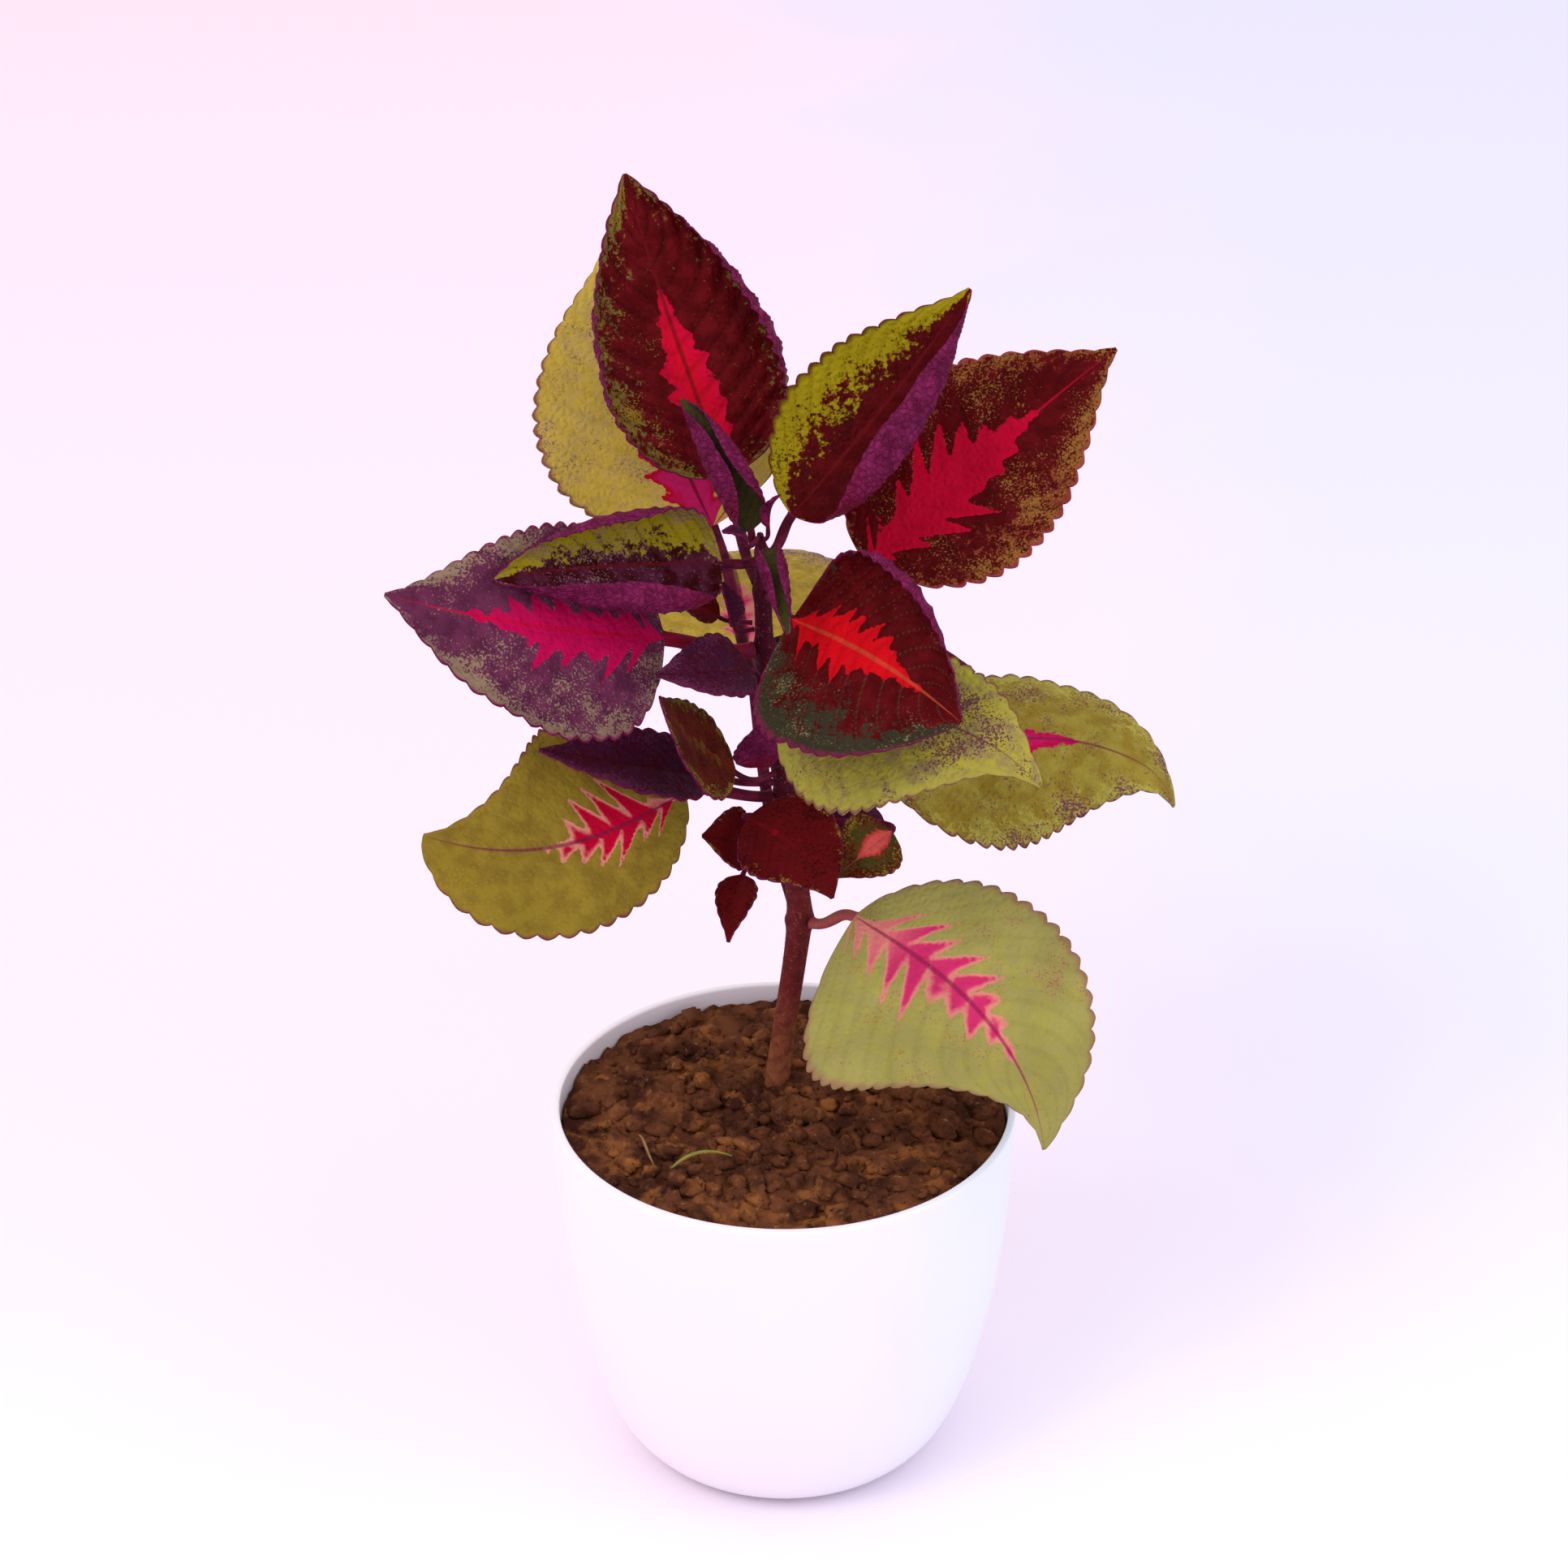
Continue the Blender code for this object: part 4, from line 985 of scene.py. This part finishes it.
def build_pot():
    """Round pot as a lathe with a smooth profile, and a floor with drain holes."""
    outside = smooth_rows(POT_OUTSIDE, PROFILE_STEPS)
    rim = [(RIM_OUT - inset, POT_HEIGHT - drop) for inset, drop in RIM_ROUND]
    rim += [(RIM_OUT - WALL + inset, POT_HEIGHT - drop) for inset, drop in RIM_ROUND[::-1]]
    inside = [(r - WALL, z) for r, z in outside[::-1] if z > INSIDE_LOW]
    profile = outside + rim + inside + [(FLOOR_RADIUS, FLOOR)]
    points = [point for r, z in profile for point in circle(r, z, POT_SIDES)]
    faces = ring_faces(0, len(profile) - 1, POT_SIDES)
    walls = len(faces)
    holes = [2 * math.pi * (k + 0.5) / DRAIN_COUNT for k in range(DRAIN_COUNT)]
    bottom, upper = len(points) + POT_SIDES, len(points) + 2 * POT_SIDES + DRAIN_COUNT * DRAIN_SIDES
    for height, radius, upward in ((0.0, POT_OUTSIDE[0][0], False), (FLOOR, FLOOR_RADIUS, True)):
        first = len(points)
        loops = [circle(radius, height, POT_SIDES)]
        loops += [circle(DRAIN_RADIUS, height, DRAIN_SIDES, DRAIN_RING * math.cos(a),
                         DRAIN_RING * math.sin(a)) for a in holes]
        points += [point for loop in loops for point in loop]
        for triangle in geometry.tessellate_polygon([[Vector(p) for p in loop] for loop in loops]):
            a, b, c = (Vector(points[first + k]) for k in triangle)
            turn = triangle if ((b - a).cross(c - a).z > 0) == upward else triangle[::-1]
            faces.append(tuple(first + k for k in turn))
    # Walls of the drain holes, from the underside to the floor
    for hole in range(DRAIN_COUNT):
        a, b = bottom + hole * DRAIN_SIDES, upper + hole * DRAIN_SIDES
        for k in range(DRAIN_SIDES):
            m = (k + 1) % DRAIN_SIDES
            faces.append((a + m, a + k, b + k, b + m))
    pot = add_mesh("pot_fine", points, faces, [pot_material()])
    pot.data.polygons.foreach_set("use_smooth", [k < walls for k in range(len(faces))])
    part_of_plant(pot, "pot")


def stem_material():
    """Bark at the foot, and the colour of the stalks higher up."""
    n = Nodes("stem_skin")
    height = n.sum((n.axis("Z"), n.spread(*STEM_DRIFT)), (1.0, STEM_DRIFT_MM))
    body = n.mix(n.ramp(height, *BARK_ENDS_AT), BARK, YOUNG_BARK)
    body = n.mix(n.ramp(height, *STALK_COLOUR_AT), body, STALK)
    for layer in STEM_LAYERS:
        body = n.laid_on(body, *layer)
    relief = n.skin(*STEM_SKIN, under=n.skin(*STEM_RIDGES))
    return n.finish(body, relief, roughness=0.6, specular=0.04)


def build_stem():
    """A slightly square stem, swollen at each node, with short fine hairs."""
    rows = smooth_rows(STEM, STEM_ROWS // len(STEM))
    points = []
    for z, x, r in rows:
        for k in range(STEM_SIDES):
            a = 2 * math.pi * (k + 0.5) / STEM_SIDES
            size = r * (1 + STEM_SQUARENESS * math.cos(4 * a))
            points.append((x + size * math.cos(a), STEM_Y + size * math.sin(a), z))
    faces = ring_faces(0, len(rows) - 1, STEM_SIDES)
    faces.append(tuple(range(STEM_SIDES))[::-1])
    faces.append(tuple(range(len(points) - STEM_SIDES, len(points))))
    rng = random.Random(SEED)
    for _ in range(HAIRS):
        centre, radius = stem_at(rng.uniform(SOIL_LEVEL + HAIRS_FROM, STEM[-2][0]))
        a = rng.uniform(0, 2 * math.pi)
        out = np.array([math.cos(a), math.sin(a), rng.uniform(*HAIR_RISE)])
        side = np.array([-math.sin(a), math.cos(a), 0.0]) * HAIR_RADIUS
        root = centre + np.array([math.cos(a), math.sin(a), 0.0]) * (radius - HAIR_ROOT)
        lift = np.array([0.0, 0.0, HAIR_RADIUS])
        f = len(points)
        points += [root - side - lift, root + side - lift, root + 2 * lift,
                   root + out * HAIR_LENGTH]
        faces += [(f, f + 1, f + 3), (f + 1, f + 2, f + 3), (f + 2, f, f + 3)]
    stem = add_mesh("stem_fine", np.array(points, float), faces, [stem_material()])
    part_of_plant(stem, "stem")


def soil_material():
    n = Nodes("soil_crumbs")
    body = EARTH
    # The last layer is painted shade in the low places of the fine relief
    for layer in SOIL_LAYERS:
        body = n.laid_on(body, *layer)
    relief = n.skin(*SOIL_RELIEF, under=n.skin(*CLOD_RELIEF))
    return n.finish(body, relief, roughness=0.92, specular=0.02)


def grass_material(name):
    n = Nodes(name)
    body = n.laid_on(*GRASS_COLOURS[name], *GRASS_STREAKS)
    return n.finish(body, n.skin(*GRASS_SKIN), roughness=0.6, specular=0.2)


def soil_height(x, y):
    """Height of the soil's surface: a low crown with swells, lumps and grit."""
    def at(waves, layer):
        return Vector((x * waves, y * waves, layer))

    crown = SOIL_CROWN * math.cos(math.hypot(x, y) / CROWN_SPREAD)
    swell = noise.fractal(at(SWELL_WAVES, SWELL_LAYER), *SWELL_FRACTAL)
    lumps = noise.noise(at(LUMP_WAVES, LUMP_LAYER))
    lumps += GRIT_SHARE * abs(noise.noise(at(GRIT_WAVES, GRIT_LAYER)))
    return SOIL_LEVEL + crown + SWELL * swell + LUMP * lumps


def add_crumb(points, faces, rng, place, size):
    """A knobbly clod: a flattened ball with rough noise on its radius."""
    first = len(points)
    rings, around = CRUMB_GRID
    squash = rng.uniform(*CRUMB_SQUASH)
    stretch = rng.uniform(*CRUMB_STRETCH)
    spin = rng.uniform(0, math.pi)
    shift = Vector((rng.uniform(0, CRUMB_SHIFT), rng.uniform(0, CRUMB_SHIFT), 0))
    for i in range(rings + 1):
        latitude = math.pi * i / rings
        for k in range(around):
            a = 2 * math.pi * k / around
            d = Vector((math.sin(latitude) * math.cos(a), math.sin(latitude) * math.sin(a),
                        math.cos(latitude)))
            r = size * (1 + LOBE * noise.noise(d * LOBE_WAVES + shift)
                        + KNOB * noise.noise(d * KNOB_WAVES + shift))
            x, y = d.x * r * stretch, d.y * r / stretch
            points.append((place[0] + x * math.cos(spin) - y * math.sin(spin),
                           place[1] + x * math.sin(spin) + y * math.cos(spin),
                           place[2] + d.z * r * squash))
    faces += ring_faces(first, rings, around, outward=False)


def add_grass(points, faces, width, *controls):
    """A thin curved blade of grass with three sides."""
    first = len(points)
    controls = [np.array(c, float) for c in controls]
    for k in range(GRASS_STEPS + 1):
        u = k / GRASS_STEPS
        here = bezier(*controls, u)
        side = unit(np.cross(heading(controls, u, 0.02), (0, 0, 1.0)))
        half = 0.5 * width * math.sin(math.pi * (GRASS_FOOT + GRASS_SPAN * u)) ** GRASS_POWER
        ridge = here + np.array([0, 0, GRASS_RISE])
        points += [tuple(here - side * half), tuple(here + side * half), tuple(ridge)]
    faces += ring_faces(first, GRASS_STEPS, 3)


def build_soil():
    """Crumbly soil with loose crumbs and two blades of grass."""
    rings, around = SOIL_GRID
    points = []
    for i in range(rings + 1):
        for x, y, _ in circle(SOIL_RADIUS * i / rings, 0.0, around):
            points.append((x, y, soil_height(x, y)))
    points += circle(SOIL_RADIUS - SOIL_TAPER, SOIL_LEVEL - SOIL_DEPTH, around)
    faces = ring_faces(0, rings + 1, around, outward=False)
    faces.append(tuple((rings + 1) * around + k for k in range(around))[::-1])
    rng = random.Random(SEED)
    foot_x = STEM[1][1]
    for _ in range(CRUMBS):
        radius, angle = CRUMB_REACH * math.sqrt(rng.random()), rng.uniform(0, 2 * math.pi)
        x, y = radius * math.cos(angle), radius * math.sin(angle)
        size = rng.choice(CRUMB_SIZES)
        if math.hypot(x - foot_x, y - STEM_Y) > FOOT_CLEARANCE:
            place = (x, y, soil_height(x, y) + size * CRUMB_LIFT)
            add_crumb(points, faces, rng, place, size)
    earth = len(faces)
    add_grass(points, faces, *GREEN_GRASS)
    green = len(faces)
    add_grass(points, faces, *DRY_GRASS)
    slots = [0] * earth + [1] * (green - earth) + [2] * (len(faces) - green)
    materials = [soil_material(), *(grass_material(name) for name in GRASS_COLOURS)]
    part_of_plant(add_mesh("soil_fine", points, faces, materials, slots), "soil")


def build_stage():
    """Wide paper with painted warm light on the left turning to painted cool shade on the right,
    paler towards the front.
    """
    n = Nodes("floor_paper")
    across = n.sum((n.axis("X"), n.spread(*PAPER_DRIFT)), (1.0, PAPER_DRIFT_MM))
    # Painted warm light on the left of the paper turning to painted cool shade on the right
    tint = n.mix(n.ramp(across, *PAPER_PAINTED_COOL_SHADE_AT), PAPER_PAINTED_WARM_LIGHT, PAPER_PAINTED_COOL_SHADE)
    tint = n.mix(n.ramp(n.axis("Y"), *PAPER_FRONT_AT), tint, PAPER_FRONT)
    paper = n.finish(tint, n.skin(*PAPER_SKIN), roughness=0.85, specular=0.1)
    corners = [(x * PAPER_REACH, y * PAPER_REACH, PAPER_LEVEL)
               for x, y in ((-1, -1), (1, -1), (1, 1), (-1, 1))]
    add_mesh("floor", corners, [(0, 1, 2, 3)], [paper], smooth=False)


def build_light():
    world = bpy.data.worlds.new("soft_room")
    bpy.context.scene.world = world
    world.use_nodes = True
    back = world.node_tree.nodes["Background"]
    back.inputs["Color"].default_value = ROOM_COLOUR
    back.inputs["Strength"].default_value = ROOM_STRENGTH
    for name, place, width, power, colour in LAMPS:
        data = bpy.data.lights.new(name, "AREA")
        data.shape = "DISK"
        data.size = width
        data.energy = power
        data.color = colour
        lamp = add_object(name, data)
        lamp.location = place
        aim = Vector(LAMP_AIM) - Vector(place)
        lamp.rotation_euler = aim.to_track_quat("-Z", "Y").to_euler()


def build_camera():
    data = bpy.data.cameras.new("camera")
    data.sensor_width = SENSOR_MM
    data.lens = SENSOR_MM * FOCAL_PIXELS / PHOTO_PIXELS
    data.clip_start = CAMERA_CLIP
    camera = add_object("camera", data)
    camera.location = CAMERA_AT
    camera.rotation_euler = (math.radians(90 - CAMERA_PITCH_DEG), 0, 0)
    bpy.context.scene.camera = camera
    bpy.context.scene.view_settings.view_transform = "Standard"


dress_leaves()
build_soil()
build_pot()
build_stem()
build_stage()
build_light()
build_camera()
